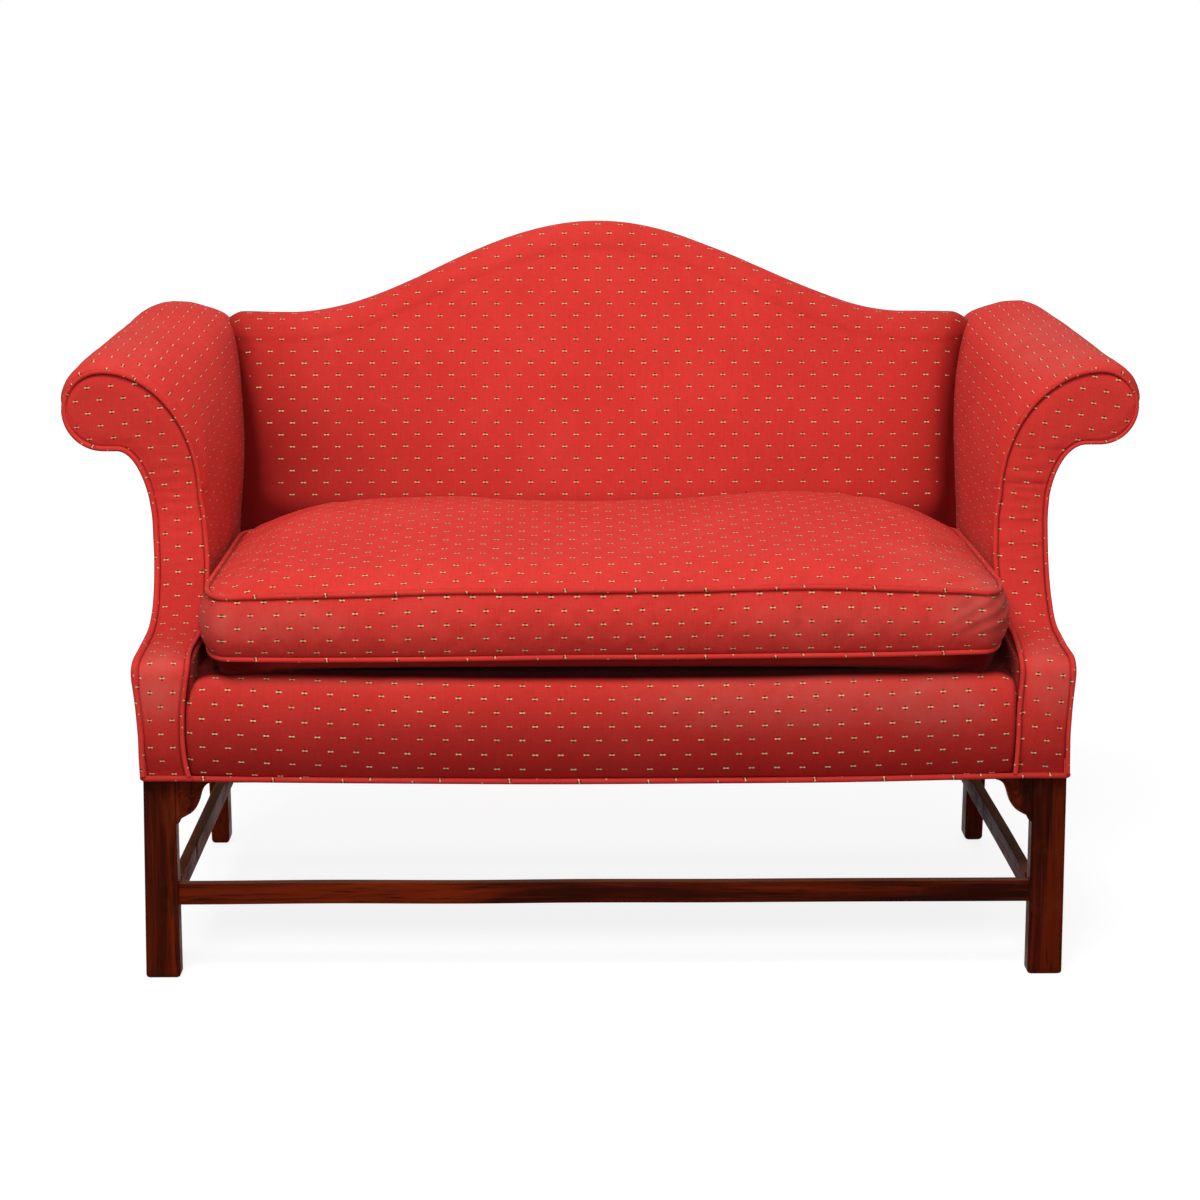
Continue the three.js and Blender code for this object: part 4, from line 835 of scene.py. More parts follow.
def outside_arm(side, seed):
    """Flat outer side cover, hollowed at its top under the scroll, narrowed to the facing's outer edge at its
    front. The cloth runs front to back."""
    outer = arm_grid(arm_neck, side, 0.0, 90, 70, 0.002)
    inner = arm_grid(arm_neck, side, 0.004, 90, 70, 0.002)
    places = np.stack([outer[..., 1] - FRONT, lengths(outer, 0)], -1)
    u, v = places[..., 0], places[..., 1]
    front_edge = outer[..., 1] - outer[:, :1, 1]
    edge = np.minimum(front_edge, outer[:, -1:, 1] - outer[..., 1])
    soft = ripple(u, v, 0.22, seed) * 0.0009 - 0.0016 * (1 - ramp(edge, 0, 0.012)) + 0.0012
    edge_x = np.interp(outer[..., 2], EDGE_HEIGHTS, OUTER_EDGE[side])
    draw = (edge_x - outer[..., 0] + 0.0005) * (1 - ramp(front_edge, 0, 0.10))
    draw = draw * ramp(outer[..., 2], 0.575, 0.52)
    shift = np.stack([draw, draw * 0, draw * 0], -1)
    return on_side(shell(pushed(outer, inner, soft) + shift, inner + shift, places), side)


def facing_edges(side):
    """Inner and outer outlines of the facing as lines (x, depth, height), matched row by row: below the
    scroll both have the same heights, at even steps along the side view; above, even shares of each line's
    length, until both meet on the scroll's outer side."""
    section = arm_sizes(SETBACK, side)
    below = resample(FACE[FACE[:, 1] <= SWEEP_TOP], 150)
    depth, z = below[:, 0], below[:, 1]
    neck = arm_neck(SETBACK, side)
    heights = EDGE_HEIGHTS + [section["wall_z"]]
    inner_x = np.interp(z, heights, INNER_EDGE[side] + [section["wall_x"]])
    neck_at_top = np.interp(SWEEP_TOP, neck[1:-1, 1], neck[1:-1, 0])
    outer_x = np.interp(z, heights, OUTER_EDGE[side] + [neck_at_top])
    smooth = np.hanning(11) / np.hanning(11).sum()
    inner_x[5:-5] = np.convolve(inner_x, smooth, "valid")
    outer_x[5:-5] = np.convolve(outer_x, smooth, "valid")
    skin = arm_skin(SETBACK, side, 0.0, math.pi / 2)[2:]
    inner_top = resample(skin, 90)[1:]
    b = np.linspace(math.pi, math.pi / 2, 24)
    scroll = np.stack([section["apex_x"] + section["scroll"] * np.sin(b),
                       section["apex_z"] - section["scroll"] + section["scroll"] * np.cos(b)], -1)
    hollow = neck[1:-1][neck[1:-1, 1] > SWEEP_TOP]
    outer_top = resample(np.concatenate([[[neck_at_top, SWEEP_TOP]], hollow, scroll]), 90)[1:]
    flat = np.full(len(inner_top), SETBACK)
    inner = np.concatenate([np.stack([inner_x, depth, z], -1),
                            np.stack([inner_top[:, 0], flat, inner_top[:, 1]], -1)])
    outer = np.concatenate([np.stack([outer_x, depth, z], -1),
                            np.stack([outer_top[:, 0], flat, outer_top[:, 1]], -1)])
    return inner, outer


def facing(side, seed):
    """Covered front of the arm: straight rows between its two outlines, laid on the side view's line, softly
    padded, its edges drawn back under the welt, with small cross puckers on the narrow part and a few tight
    creases on the right arm. The cloth hangs a little out of level."""
    t = np.linspace(0, 1, 26)[None, :, None]
    inner, outer = (line[:, None] for line in facing_edges(side))
    flat = inner * (1 - t) + outer * t
    x, z = flat[..., 0], flat[..., 2]
    depth = face_depth(z)
    run, climb = face_normal(z)
    along = np.interp(z, FACE[:, 1], lengths(FACE[None], 1)[0])
    low_tilt, high_tilt, drop = FACING_HANG[side]
    tilt = low_tilt + (high_tilt - low_tilt) * ramp(z, 0.45, 0.66)
    heights, moved, raised, wide = FACING_CLOTH[side]
    middle = np.interp(z, [0.40, 0.56, 0.66, 0.72], [0.568, 0.571, 0.600, 0.656])
    u = x - np.interp(z, heights, moved) + (np.interp(z, heights, wide) - 1) * (x - middle)
    v = along + tilt * (x - FOOT_INNER) + drop - np.interp(z, heights, raised)
    places = np.stack([u, v], -1)
    across = t[..., 0] * np.ones_like(x)
    width = np.linalg.norm(outer - inner, axis=-1) * np.ones_like(x)
    edge = np.minimum(across, 1 - across) * width
    belly = 1 - ramp(z, COVER_BOTTOM, COVER_BOTTOM + 0.045)
    puff = 0.0028 * ramp(edge, 0.0, 0.022) - 0.0012
    puff = puff + ripple(x, along, 0.12, seed) * 0.0007 * ramp(edge, 0, 0.012)
    puff = puff + 0.0028 * ramp(z, COVER_BOTTOM, RAIL_TOP) * (1 - ramp(z, RAIL_TOP, KNUCKLE))
    puff = puff - belly ** 2 * 0.0040
    narrow = ramp(z, 0.46, 0.50) * (1 - ramp(z, 0.64, 0.70))
    puckers = np.sin(2 * np.pi * along / 0.0165 + ripple(x, along, 0.08, seed + 3) * 1.6)
    puff = puff + puckers * narrow * 0.00045 * (1.2 - 2 * np.abs(across - 0.5))
    tight = np.zeros_like(x)
    for height, slope, strength in TIGHT_CREASES:
        tight += strength * np.exp(-((z - height - slope * (x - FOOT_INNER)) / 0.0022) ** 2)
    tight = tight * ramp(edge, 0.0, 0.008) * TIGHTNESS[side]
    puff = puff - tight * 0.0011
    front = np.stack([x, FRONT + depth + run * puff, z + climb * puff], -1)
    back = np.stack([x, FRONT + depth - run * 0.010, z - climb * 0.010], -1)
    # Painted shade at the edges under the welt, in the tight creases, and across the middle and upper facing,
    # more on the left
    painted_shade = 0.7 * (1 - ramp(edge, 0.0025, 0.0058)) + 0.35 * tight
    painted_shade = painted_shade + MIDDLE_SHADE[side] * ramp(z, 0.57, 0.49) * ramp(z, 0.415, 0.440)
    painted_shade = painted_shade + UPPER_SHADE[side] * ramp(z, 0.59, 0.66)
    return on_side(shell(front, back, with_painted_shade(places, painted_shade)), side)


def welt_ring(path, lift, radius, closed, sides=10, shade=0.07):
    """Round cord along a path: circles square to it, each started towards the lift direction, ends drawn to a
    point. The cloth strip is cut nearly along its warp, so the motif lies across the cord now and then."""
    if closed:
        path = np.concatenate([path, path[:1]])
        ahead = np.roll(path[:-1], -1, axis=0) - np.roll(path[:-1], 1, axis=0)
        tangent = np.concatenate([ahead, ahead[:1]])
    else:
        tangent = np.gradient(path, axis=0)
    tangent = unit(tangent)
    lift = np.broadcast_to(np.asarray(lift, float), path.shape)
    aside = unit(np.cross(tangent, lift))
    up = np.cross(aside, tangent)
    thick = np.broadcast_to(np.asarray(radius, float), len(path))[:, None]
    angle = np.linspace(0, 2 * np.pi, sides + 1)
    circle = np.cos(angle)[None, :, None] * up[:, None] + np.sin(angle)[None, :, None] * aside[:, None]
    points = path[:, None] + circle * thick[..., None]
    run = lengths(path[:, None], 0)[:, :1]
    if not closed:
        tips = [np.repeat(path[end, None], sides + 1, 1) for end in (slice(0, 1), slice(-1, None))]
        points = np.concatenate([tips[0], points, tips[1]])
        run = np.concatenate([run[:1] - thick[:1], run, run[-1:] + thick[-1:]])
    turn = angle[None] * WELT
    cos, sin = math.cos(WELT_CUT), math.sin(WELT_CUT)
    # The places' third part is the welt's painted shade
    places = np.stack([run * sin + turn * cos, run * cos - turn * sin, shade + run * turn * 0], -1)
    return [(points, places)]


def facing_welt(side):
    """Welt on the facing's edge: up the inner outline, round the scroll and down the outer outline. It is
    thinner round the scroll and thicker over the outer knuckle."""
    inner, outer = facing_edges(side)
    outline = resample(np.concatenate([inner, outer[::-1][1:]]), 460)
    run, climb = face_normal(outline[:, 2])
    normal = np.stack([np.zeros_like(run), run, climb], -1)
    inward = np.cross(unit(np.gradient(outline, axis=0)), normal)
    path = outline - inward * 0.0007 + normal * 0.0006
    path[:, 1] += FRONT
    path[:, 2] = np.maximum(path[:, 2], COVER_BOTTOM + 0.0015)
    z = outline[:, 2]
    late = ramp(np.linspace(0, 1, len(z)), 0.5, 0.56)
    knuckle = np.exp(-((z - 0.412) / 0.022) ** 2)
    outside = OUTER_WELT[side] + 0.0012 * knuckle
    radius = (WELT + (outside - WELT) * late) * (1 - 0.14 * ramp(z, 0.62, 0.70))
    return on_side(welt_ring(path, normal, radius, False), side)


def welt_sag(x):
    """How far the covers' bottom edge hangs down: nothing at the sides, most in the middle."""
    return 0.0055 * (1 - np.minimum(np.abs(x) / (COVER_SIDE - 0.06), 1) ** 2)


def rail_cover():
    """Padded front of the seat rail: a bellied profile, turned under at the bottom and far over at the top
    edge, carried across. Its bottom and top hang a little, and its top corners are rounded down beside the
    arms."""
    line = through([
        (-0.0020, COVER_BOTTOM - 0.0014), (-0.0095, COVER_BOTTOM + 0.0010), (-0.0140, 0.2860),
        (-0.0170, 0.3020), (-0.0182, 0.3250), (-0.0176, 0.3420), (-0.0150, 0.3585),
        (-0.0106, 0.3745), (-0.0035, 0.3888),
        (0.0070, 0.3968), (0.0190, 0.4000), (0.0330, 0.4010), (DECK_FRONT, 0.4010)], 72)
    depth, z = line[:, :1], line[:, 1:]
    share = np.sin(np.linspace(-1, 1, 280)[None] * math.pi / 2)
    left, right = (np.interp(z, EDGE_HEIGHTS, INNER_EDGE[side]) - 0.0012 for side in (-1, 1))
    half = np.where(share < 0, left, right)
    x = share * half
    edge = half - np.abs(x)
    round_off = 1 - np.sqrt(np.maximum(1 - np.maximum(1 - edge / 0.034, 0) ** 2, 0))
    high = np.maximum((z - 0.368) / (0.401 - 0.368), 0)
    fall = 0.026 * round_off * high + welt_sag(x) * (1 - ramp(z, COVER_BOTTOM, 0.33))
    fall = fall - 0.006 * np.minimum(np.abs(x) / 0.45, 1) ** 2 * ramp(z, 0.32, 0.40)
    outer = np.stack([x, FRONT + depth + 0.004 * round_off, z - fall], -1)
    tucked = np.minimum(z, PAD_BOTTOM) - fall * (z < 0.36)
    inner = np.stack([x, FRONT + np.maximum(depth, -GAP) + x * 0, tucked], -1)
    climb = lengths(line[:, None], 0)
    row_at = np.interp(0.3585, line[:, 1], climb[:, 0])
    u = x + np.where(x < 0, 0.008 + 0.0112 * x, 0.008 + 0.013 * x)
    v = climb - row_at + 21.5 * ROW + 0.0015 - np.where(x < 0, 0.0095, 0.0062) * (x / 0.5) ** 2
    soft = ripple(u, v, 0.28, 31) * 0.0012 + ripple(u, v, 0.07, 32) * 0.0003
    soft = soft - 0.003 * (1 - ramp(edge, 0, 0.010)) * ramp(z, COVER_BOTTOM, 0.30)
    # Painted shade at the ends beside the arms, on the turned-under bottom, and over the top behind the crest
    # where the cushion shades it
    under = 1 - ramp(z, COVER_BOTTOM, COVER_BOTTOM + 0.004) + x * 0
    painted_shade = 0.75 * (1 - ramp(edge, 0.001, 0.007)) + 0.55 * under
    painted_shade = painted_shade + 1.2 * ramp(depth, 0.000, 0.016)
    places = with_painted_shade(np.stack([u, v], -1), np.minimum(painted_shade, 1.0))
    return shell(pushed(outer, inner, soft), inner, places)


def inside_back():
    """Padded inside back: up from the seat, along the raked front, over the camel rail by two elliptic
    quarters and a short way down behind. The last stretch beside each arm is drawn back into the joint."""
    x = np.linspace(-CREST_END, CREST_END, 200)
    top = camel_top(x)[:, None]
    a = np.linspace(0, math.pi / 2, 26)[None]
    knee = top - ROLL_FRONT_DROP
    shoulder = BACK_FRONT + (knee - BACK_KNEE) * BACK_RAKE
    tail = top - ROLL_TAIL_DROP
    behind = back_line(tail) + PANEL + 0.003
    middle, reach = (shoulder + behind) / 2, (behind - shoulder) / 2
    rise = np.linspace(0, 1, 90)[None]
    low = np.linspace(0, 1, 16, endpoint=False)[None]
    depth = np.concatenate([
        BACK_FRONT + low * 0 + top * 0, BACK_FRONT + (shoulder - BACK_FRONT) * rise,
        (middle - reach * np.cos(a))[:, 1:], (middle + reach * np.sin(a))[:, 1:]], 1)
    z = np.concatenate([
        PAD_BOTTOM + (BACK_KNEE - PAD_BOTTOM) * low + top * 0, BACK_KNEE + (knee - BACK_KNEE) * rise,
        (knee + ROLL_FRONT_DROP * np.sin(a))[:, 1:], (tail + ROLL_TAIL_DROP * np.cos(a))[:, 1:]], 1)
    outer = np.stack([x[:, None] + z * 0, FRONT + depth, z], -1)
    lid = top - 0.0217
    inner_z = np.minimum(z, lid)
    rear = back_line(inner_z) - 0.0306
    tucked = np.clip(depth, rear, back_line(inner_z) + GAP)
    inner = np.stack([x[:, None] + z * 0, FRONT + tucked, inner_z], -1)
    places = np.stack([outer[..., 0], lengths(outer, 1)], -1)
    u, v = places[..., 0], places[..., 1]
    wall = np.interp(z, [0.5, 0.70, 0.76, 0.80, 0.83], [0.519, 0.523, 0.530, 0.545, 0.570])
    edge = wall - np.abs(x[:, None])
    soft = ripple(u, v, 0.30, 41) * 0.0016 + ripple(u, v, 0.09, 42) * 0.0003
    drawn = -0.016 * (1 - ramp(edge, -0.004, 0.034)) - 0.001
    near = np.maximum(edge, 0)
    left = x[:, None] < 0
    # Painted shade beside each arm's joint, deeper and wider on the left where the left arm shades the back
    # from the key lamp, and over the lower back above the cushion
    shade = np.where(left, 0.82, 0.42) * (1 - ramp(z, 0.60, 0.82) * 0.75)
    painted_shade = 0.80 * np.exp(-near / np.where(left, 0.015, 0.022))
    painted_shade = painted_shade + shade * np.exp(-near / np.where(left, 0.15, 0.11))
    painted_shade = painted_shade * (1 - ramp(z, 0.84, 0.90)) + 0.5 * (1 - ramp(z, 0.50, 0.57))
    painted_shade = painted_shade + 0.10 * (1 - ramp(z, 0.55, 0.72))
    places = with_painted_shade(places, np.minimum(painted_shade, 0.95))
    return shell(pushed(outer, inner, (soft + drawn) * ramp(z, PAD_BOTTOM, 0.48)), inner, places)


def outside_back():
    """Back panel on the leaning plane: columns from its lower to its upper edge. The lower edge is level,
    then follows the arm ends' necks; the upper edge follows the camel tail, then the arm ends' tops."""
    depth = back_line(SHOULDER)
    skin = arm_skin(depth, 1, 0.0, math.pi / 2)[2:]
    neck = arm_neck(depth, 1)[1:-1]
    sizes = arm_sizes(depth, 1)
    b = np.linspace(math.pi, math.pi / 2, 24)
    under = np.stack([sizes["apex_x"] + sizes["scroll"] * np.sin(b),
                      sizes["apex_z"] - sizes["scroll"] * (1 - np.cos(b))], -1)
    low_line = np.concatenate([neck, under])
    end = sizes["apex_x"] + sizes["scroll"]
    step = COVER_SIDE + 0.0004
    beyond = step + (end - COVER_SIDE - 0.0004) * np.sin(np.linspace(0, math.pi / 2, 34))
    half = np.concatenate([np.linspace(0, COVER_SIDE, 110), beyond])
    x = np.concatenate([-half[::-1], half[1:]])
    reach = np.abs(x)
    tail = camel_top(x) - ROLL_TAIL_DROP - GAP
    meet = np.interp(SHOULDER - ROLL_TAIL_DROP - GAP, skin[:60, 1], skin[:60, 0])
    high = np.where(reach < meet, tail, np.interp(reach, skin[:, 0], skin[:, 1]))
    low = np.where(reach <= COVER_SIDE, COVER_BOTTOM, np.interp(reach, low_line[:, 0], low_line[:, 1]))
    share = np.linspace(0, 1, 80)[None]
    z = low[:, None] + (high - low)[:, None] * share
    wide = x[:, None] + z * 0
    rear = back_line(z)
    outer = np.stack([wide, FRONT + rear + PANEL, z], -1)
    inner = np.stack([wide, FRONT + rear + GAP, z], -1)
    places = np.stack([wide, z], -1)
    edge = np.minimum(np.minimum(high[:, None] - z, z - low[:, None]), (end - reach)[:, None])
    soft = ripple(wide, z, 0.3, 51) * 0.0010 - 0.003 * (1 - ramp(edge, 0, 0.012)) + 0.0015
    return shell(pushed(outer, inner, soft), inner, places)


def seat_deck():
    """Stuffed deck under the cushion, from the rail's pad to the back, as wide as the arms leave it."""
    depth = np.linspace(DECK_FRONT, BACK_FRONT - GAP, 60)[:, None]
    between = [min(arm_sizes(d, side)["foot_x"] for side in (1, -1)) for d in depth[:, 0]]
    half = np.array(between)[:, None] - GAP
    x = np.linspace(-1, 1, 120)[None] * half
    y = depth + x * 0
    outer = np.stack([x, FRONT + y, CUSHION_REST + x * 0], -1)
    inner = np.stack([x, FRONT + y, PAD_BOTTOM + x * 0], -1)
    soft = ripple(x, y, 0.2, 61) * 0.0005 - 0.0016
    # Painted shade: the whole deck is coloured dark, as it lies in the cushion's shade
    places = with_painted_shade(np.stack([x, y], -1), 0.9 + x * 0)
    return shell(pushed(outer, inner, soft), inner, places)


def bottom_welt():
    """Welt along the covers' bottom edge: from the back, round each front corner, sagging a little in
    front."""
    z = COVER_BOTTOM - 0.0018
    front = COVER_FRONT + 0.0012
    corner = 0.006
    a = np.linspace(0, math.pi / 2, 12)
    halves = []
    for side, reach in BOTTOM_WELT_REACH.items():
        turn = np.stack([reach - corner + corner * np.cos(a), front + corner - corner * np.sin(a)], -1)
        halves.append(np.concatenate([[[reach, POST_BACK]], turn]) * [side, 1])
    plan = resample(np.concatenate([halves[0], halves[1][::-1]]), 640)
    sag = welt_sag(plan[:, 0]) * (plan[:, 1] < front + 0.004)
    wave = ripple(plan[:, 0], plan[:, 1], 0.35, 71) * 0.0005
    path = np.stack([plan[:, 0], FRONT + plan[:, 1], z - sag + wave], -1)
    # Deeper painted shade on the bottom welt, low under the rail
    return welt_ring(path, (0, 0, 1), BOTTOM_WELT, False, shade=0.26)


def cushion_plan(x, y):
    """Moves a rectangle's corners in to quarter ellipses: within a corner's box the box is mapped to a disc.
    The front corners are long and narrow. The sides are drawn in between the corners along a sine."""
    half = CUSHION_HALF
    long = np.where(y < 0, CORNER_FRONT, CORNER_BACK)
    u, v = (np.abs(x) - half[0]) / CORNER_WIDTH + 1, (np.abs(y) - half[1]) / long + 1
    inside = (u > 0) & (v > 0)
    p = np.where(inside, u * np.sqrt(np.maximum(1 - v * v / 2, 0)), u)
    q = np.where(inside, v * np.sqrt(np.maximum(1 - u * u / 2, 0)), v)
    px = np.sign(x) * (half[0] + (p - 1) * CORNER_WIDTH)
    py = np.sign(y) * (half[1] + (q - 1) * long)
    middle = np.cos(np.pi / 2 * np.minimum(np.abs(x) / (half[0] - CORNER_WIDTH), 1))
    py = py - np.sign(y) * SIDE_DRAWN * np.abs(y / half[1]) ** 6 * middle
    return px, py


def seam_low(x):
    """Height of the cushion's lower seam: a little lower on the left, lifted towards both ends."""
    return DECK_TOP + 0.0055 + 0.0028 * x / 0.38 + 0.0040 * (x / 0.5) ** 4


def seam_high(x):
    """Height of the cushion's upper seam: a little lower on the left, high right of the middle, falling
    towards both ends."""
    swell = 0.0046 * np.exp(-((x - 0.27) / 0.12) ** 2) + 0.0020 * np.exp(-((x + 0.20) / 0.08) ** 2)
    tilted = DECK_TOP + 0.0915 + 0.0024 * x / 0.38
    return tilted - 0.0042 * (x / 0.5) ** 2 + swell - 0.0035 * ramp(x, 0.45, 0.51)


def cushion_crown(x, depth):
    """Height of the cushion's top over its upper seam: quick at the front edge, slowly on towards the back,
    down again at the back edge, and round to both sides."""
    rise = 0.0260 * (1 - np.exp(-depth / 0.043)) + 0.0400 * ramp(depth, 0.00, 0.35)
    back = np.maximum(1 - (depth / (CUSHION_BACK - CUSHION_FRONT)) ** 10, 0) ** 0.5
    return rise * back * np.maximum(1 - np.abs(x / CUSHION_HALF[0]) ** 6, 0) ** 0.5


def eased(half, count):
    """Steps from -half to half that draw together towards both ends, along the middle part of a sine."""
    quarter = math.pi / 2
    return half * np.sin(np.linspace(-1, 1, count) * quarter * SEAM_EASE) / math.sin(quarter * SEAM_EASE)


def cushion_patches(share):
    """Top, bottom and boxing of the cushion as three grids that share the seams. The top is crowned; the
    bottom sinks from its seam to the deck; the boxing bulges, most round the corners, and folds near its
    right end. The crown and the bulge start at a share of their full size."""
    half = CUSHION_HALF
    columns = 190
    gx, gy = eased(half[0], columns), eased(half[1], 96)
    x, y = np.meshgrid(gx, gy, indexing="ij")
    px, py = cushion_plan(x, y)
    centre = FRONT + (CUSHION_FRONT + CUSHION_BACK) / 2
    top = np.stack([px, centre + py, seam_high(px) + share * cushion_crown(x, y + half[1])], -1)
    near = np.minimum(half[0] - np.abs(x), half[1] - np.abs(y))
    rest = np.sqrt(1 - (1 - np.minimum(near / 0.022, 1)) ** 2)
    low = seam_low(px)
    bottom = np.stack([px, centre + py, low + (CUSHION_REST - low) * rest], -1)
    seam = np.concatenate([top[:-1, 0], top[-1, :-1], top[:0:-1, -1], top[0, :0:-1]])[:, :2]
    ring = np.concatenate([seam, seam[:1]])
    out = outwards(seam)
    out = np.concatenate([out, out[:1]])
    ring_x, ring_y = ring[None, :, 0], ring[None, :, 1]
    rows = np.linspace(0, 1, 17)[:, None]
    corner = ramp(np.abs(ring_x), 0.45, 0.50) * (ring_y < FRONT + 0.09)
    bulge = (BOXING_BULGE + 0.003 * corner) * share * np.sin(np.pi * rows ** 0.9) ** 0.8
    low, high = seam_low(ring_x), seam_high(ring_x)
    level = low + (high - low) * rows
    slant = level - 0.56 * (ring_x - 0.485)
    folds = ramp(ring_x, 0.425, 0.47) * (ring_y < FRONT + 0.10) * ramp(rows, 0.98, 0.8) * ramp(rows, 0.2, 0.5)
    gather = sum(np.exp(-((slant - spot) / 0.0042) ** 2) for spot in BOXING_FOLDS)
    bulge = bulge + folds * (gather - 0.4) * 0.0032
    side = np.stack([ring_x + out[None, :, 0] * bulge, ring_y + out[None, :, 1] * bulge, level], -1)
    run = lengths(ring[:, None], 0)[:, 0]
    run = (run - run[columns // 2] + ring[columns // 2, 0] + 0.0026)[None]
    # The top's places; their third part is painted shade beside the seam
    flat = np.stack([top[..., 0] - 0.0085, lengths(top, 1) - 0.0185 + 1.5 * ROW,
                     0.02 + 0.53 * (1 - ramp(near, 0.0012, 0.006))], -1)
    # Painted shade on the boxing: beside both seams, more towards its bottom, and between the folds
    shade = 0.8 * (1 - ramp(np.minimum(rows, 1 - rows), 0.02, 0.07)) + 0.14 * ramp(rows, 0.75, 0.1)
    shade = shade + 0.05 + 0.35 * folds * (1 - np.clip(gather, 0, 1))
    boxing = np.stack([run + rows * 0, rows * 0.088 + run * 0 + 0.0156, shade], -1)
    # Painted shade on the underside: dark all over, darkest where it rests on the deck and towards both ends
    hidden = np.maximum(ramp(rest, 0.75, 1.0), ramp(np.abs(px), 0.40, 0.47))
    under = np.stack([px + REPEAT / 2, py + 0.006, 0.72 + 0.28 * hidden], -1)
    return [(top, flat), (bottom, under), (side, boxing)], seam


def inflated(made, cap, pressure, slack):
    """Fills a closed cover by cloth simulation under pressure with its seams held. The cloth is cut a little
    large, so that it puckers beside the seams. No point moves further than the cap."""
    mesh = made.data
    start = corner_places(mesh)
    low, high = seam_low(start[:, 0]), seam_high(start[:, 0])
    near = np.minimum(np.abs(start[:, 2] - low), np.abs(start[:, 2] - high)) < 1e-5
    seam = made.vertex_groups.new(name="seam")
    seam.add(np.nonzero(near)[0].tolist(), 1.0, "REPLACE")
    cloth = made.modifiers.new("fill", "CLOTH")
    settings = cloth.settings
    settings.quality = 4
    settings.mass = 0.3
    settings.tension_stiffness = 12
    settings.compression_stiffness = 8
    settings.shear_stiffness = 5
    settings.bending_stiffness = 0.35
    settings.use_pressure = True
    settings.uniform_pressure_force = pressure
    settings.shrink_min = -slack
    settings.vertex_group_mass = "seam"
    settings.effector_weights.gravity = 0
    cloth.collision_settings.use_collision = False
    cloth.point_cache.frame_start, cloth.point_cache.frame_end = 1, 20
    for step in range(1, 21):
        scene.frame_set(step)
    filled = made.evaluated_get(bpy.context.evaluated_depsgraph_get())
    end = corner_places(filled.data)
    made.modifiers.remove(cloth)
    made.vertex_groups.remove(seam)
    scene.frame_set(1)
    move = end - start
    far = np.linalg.norm(move, axis=1, keepdims=True)
    return start, move * np.minimum(1, cap / np.maximum(far, 1e-9))


def seat_cushion(finish):
    """The loose cushion: its cover is filled by simulation, kept above the deck, and smoothed once."""
    patches, ring = cushion_patches(FILL_START)
    mesh = joined_mesh("cover_seat_cushion", patches)
    made = placed("cover_seat_cushion", mesh)
    made.data.materials.append(finish)
    start, move = inflated(made, cap=0.010, pressure=4.0, slack=0.010)
    end = start + move
    end[:, 2] = np.maximum(end[:, 2], np.minimum(start[:, 2], CUSHION_REST))
    mesh.vertices.foreach_set("co", end.ravel())
    mesh.update()
    mesh.polygons.foreach_set("use_smooth", np.ones(len(mesh.polygons), bool))
    smooth = made.modifiers.new("finer", "SUBSURF")
    smooth.levels = smooth.render_levels = 1
    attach(made, "cushion")
    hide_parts("seat_cushion")
    return ring


def cushion_welt(ring, height, seed):
    """Welt over a seam of the cushion, standing a little out from it."""
    plan = ring + outwards(ring) * CUSHION_WELT_OUT
    rise = height(ring[:, 0]) + ripple(plan[:, 0], plan[:, 1], 0.3, seed) * 0.0006
    path = np.concatenate([plan, rise[:, None]], 1)
    closed = resample(np.concatenate([path, path[:1]]), 760)[:-1]
    return welt_ring(closed, (0, 0, 1), WELT, True)


def rounded_loop(corners, radius):
    """Closed outline through corners, each rounded by a quadratic curve that starts radius away from it. Its
    first point comes again at its end."""
    corners = np.asarray(corners, float)
    before = np.roll(corners, 1, axis=0) - corners
    after = np.roll(corners, -1, axis=0) - corners
    before *= radius / np.linalg.norm(before, axis=1, keepdims=True)
    after *= radius / np.linalg.norm(after, axis=1, keepdims=True)
    t = np.linspace(0, 1, 5)[None, :, None]
    a, b, c = corners[:, None] + before[:, None], corners[:, None], corners[:, None] + after[:, None]
    curve = (a * (1 - t) ** 2 + 2 * b * t * (1 - t) + c * t ** 2).reshape(-1, 2)
    return np.concatenate([curve, curve[:1]])


def leg_patches(side):
    """Square front leg with soft arrises, a flattened inner back corner, worn foot edges, and a carved ear:
    the top outer corner of the front face is sunk inside a quarter ellipse."""
    inner, outer = HALF - LEG_WIDTH, HALF
    corners = [(inner, 0), (outer, 0), (outer, LEG_WIDTH), (inner + LEG_FLAT, LEG_WIDTH),
               (inner, LEG_WIDTH - LEG_FLAT)]
    loop = resample(rounded_loop(corners, LEG_ARRIS), 170)[:-1]
    centre = loop.mean(0)
    z = np.concatenate([[0, 0.0006, 0.0020, 0.0045], np.linspace(0.012, 0.215, 24),
                        np.linspace(0.220, RAIL_BOTTOM + 0.004, 52), [RAIL_TOP - GAP]])
    worn = np.interp(z, [0, 0.0006, 0.0020, 0.0045], [0.0048, 0.0028, 0.0010, 0])
    shrink = 1 - worn / (LEG_WIDTH / 2)
    xy = centre + (loop[None] - centre) * shrink[:, None, None]
    x, depth = xy[..., 0], xy[..., 1]
    high = z[:, None] + x * 0
    flare = LEG_FLARE[side] * np.maximum(0, 1 - high / RAIL_BOTTOM) + LEG_SHIFT[side]
    x = x + flare * (high < RAIL_BOTTOM) * (x - inner) / LEG_WIDTH
    ear = np.sqrt(((outer + flare - x) / 0.0206) ** 2 + ((RAIL_BOTTOM + 0.001 - high) / 0.0245) ** 2)
    on_front = 1 - ramp(depth, 0.0006, 0.003)
    sunk = 0.0016 * (1 - ramp(ear, 0.93, 1.0)) + 0.0007 * np.exp(-((ear - 1.0) / 0.05) ** 2)
    depth = depth + sunk * on_front * (high > 0.2)
    grid = np.stack([x, FRONT + depth, high], -1)
    return on_side(closed_below(np.concatenate([grid, grid[:, :1]], 1)), side)


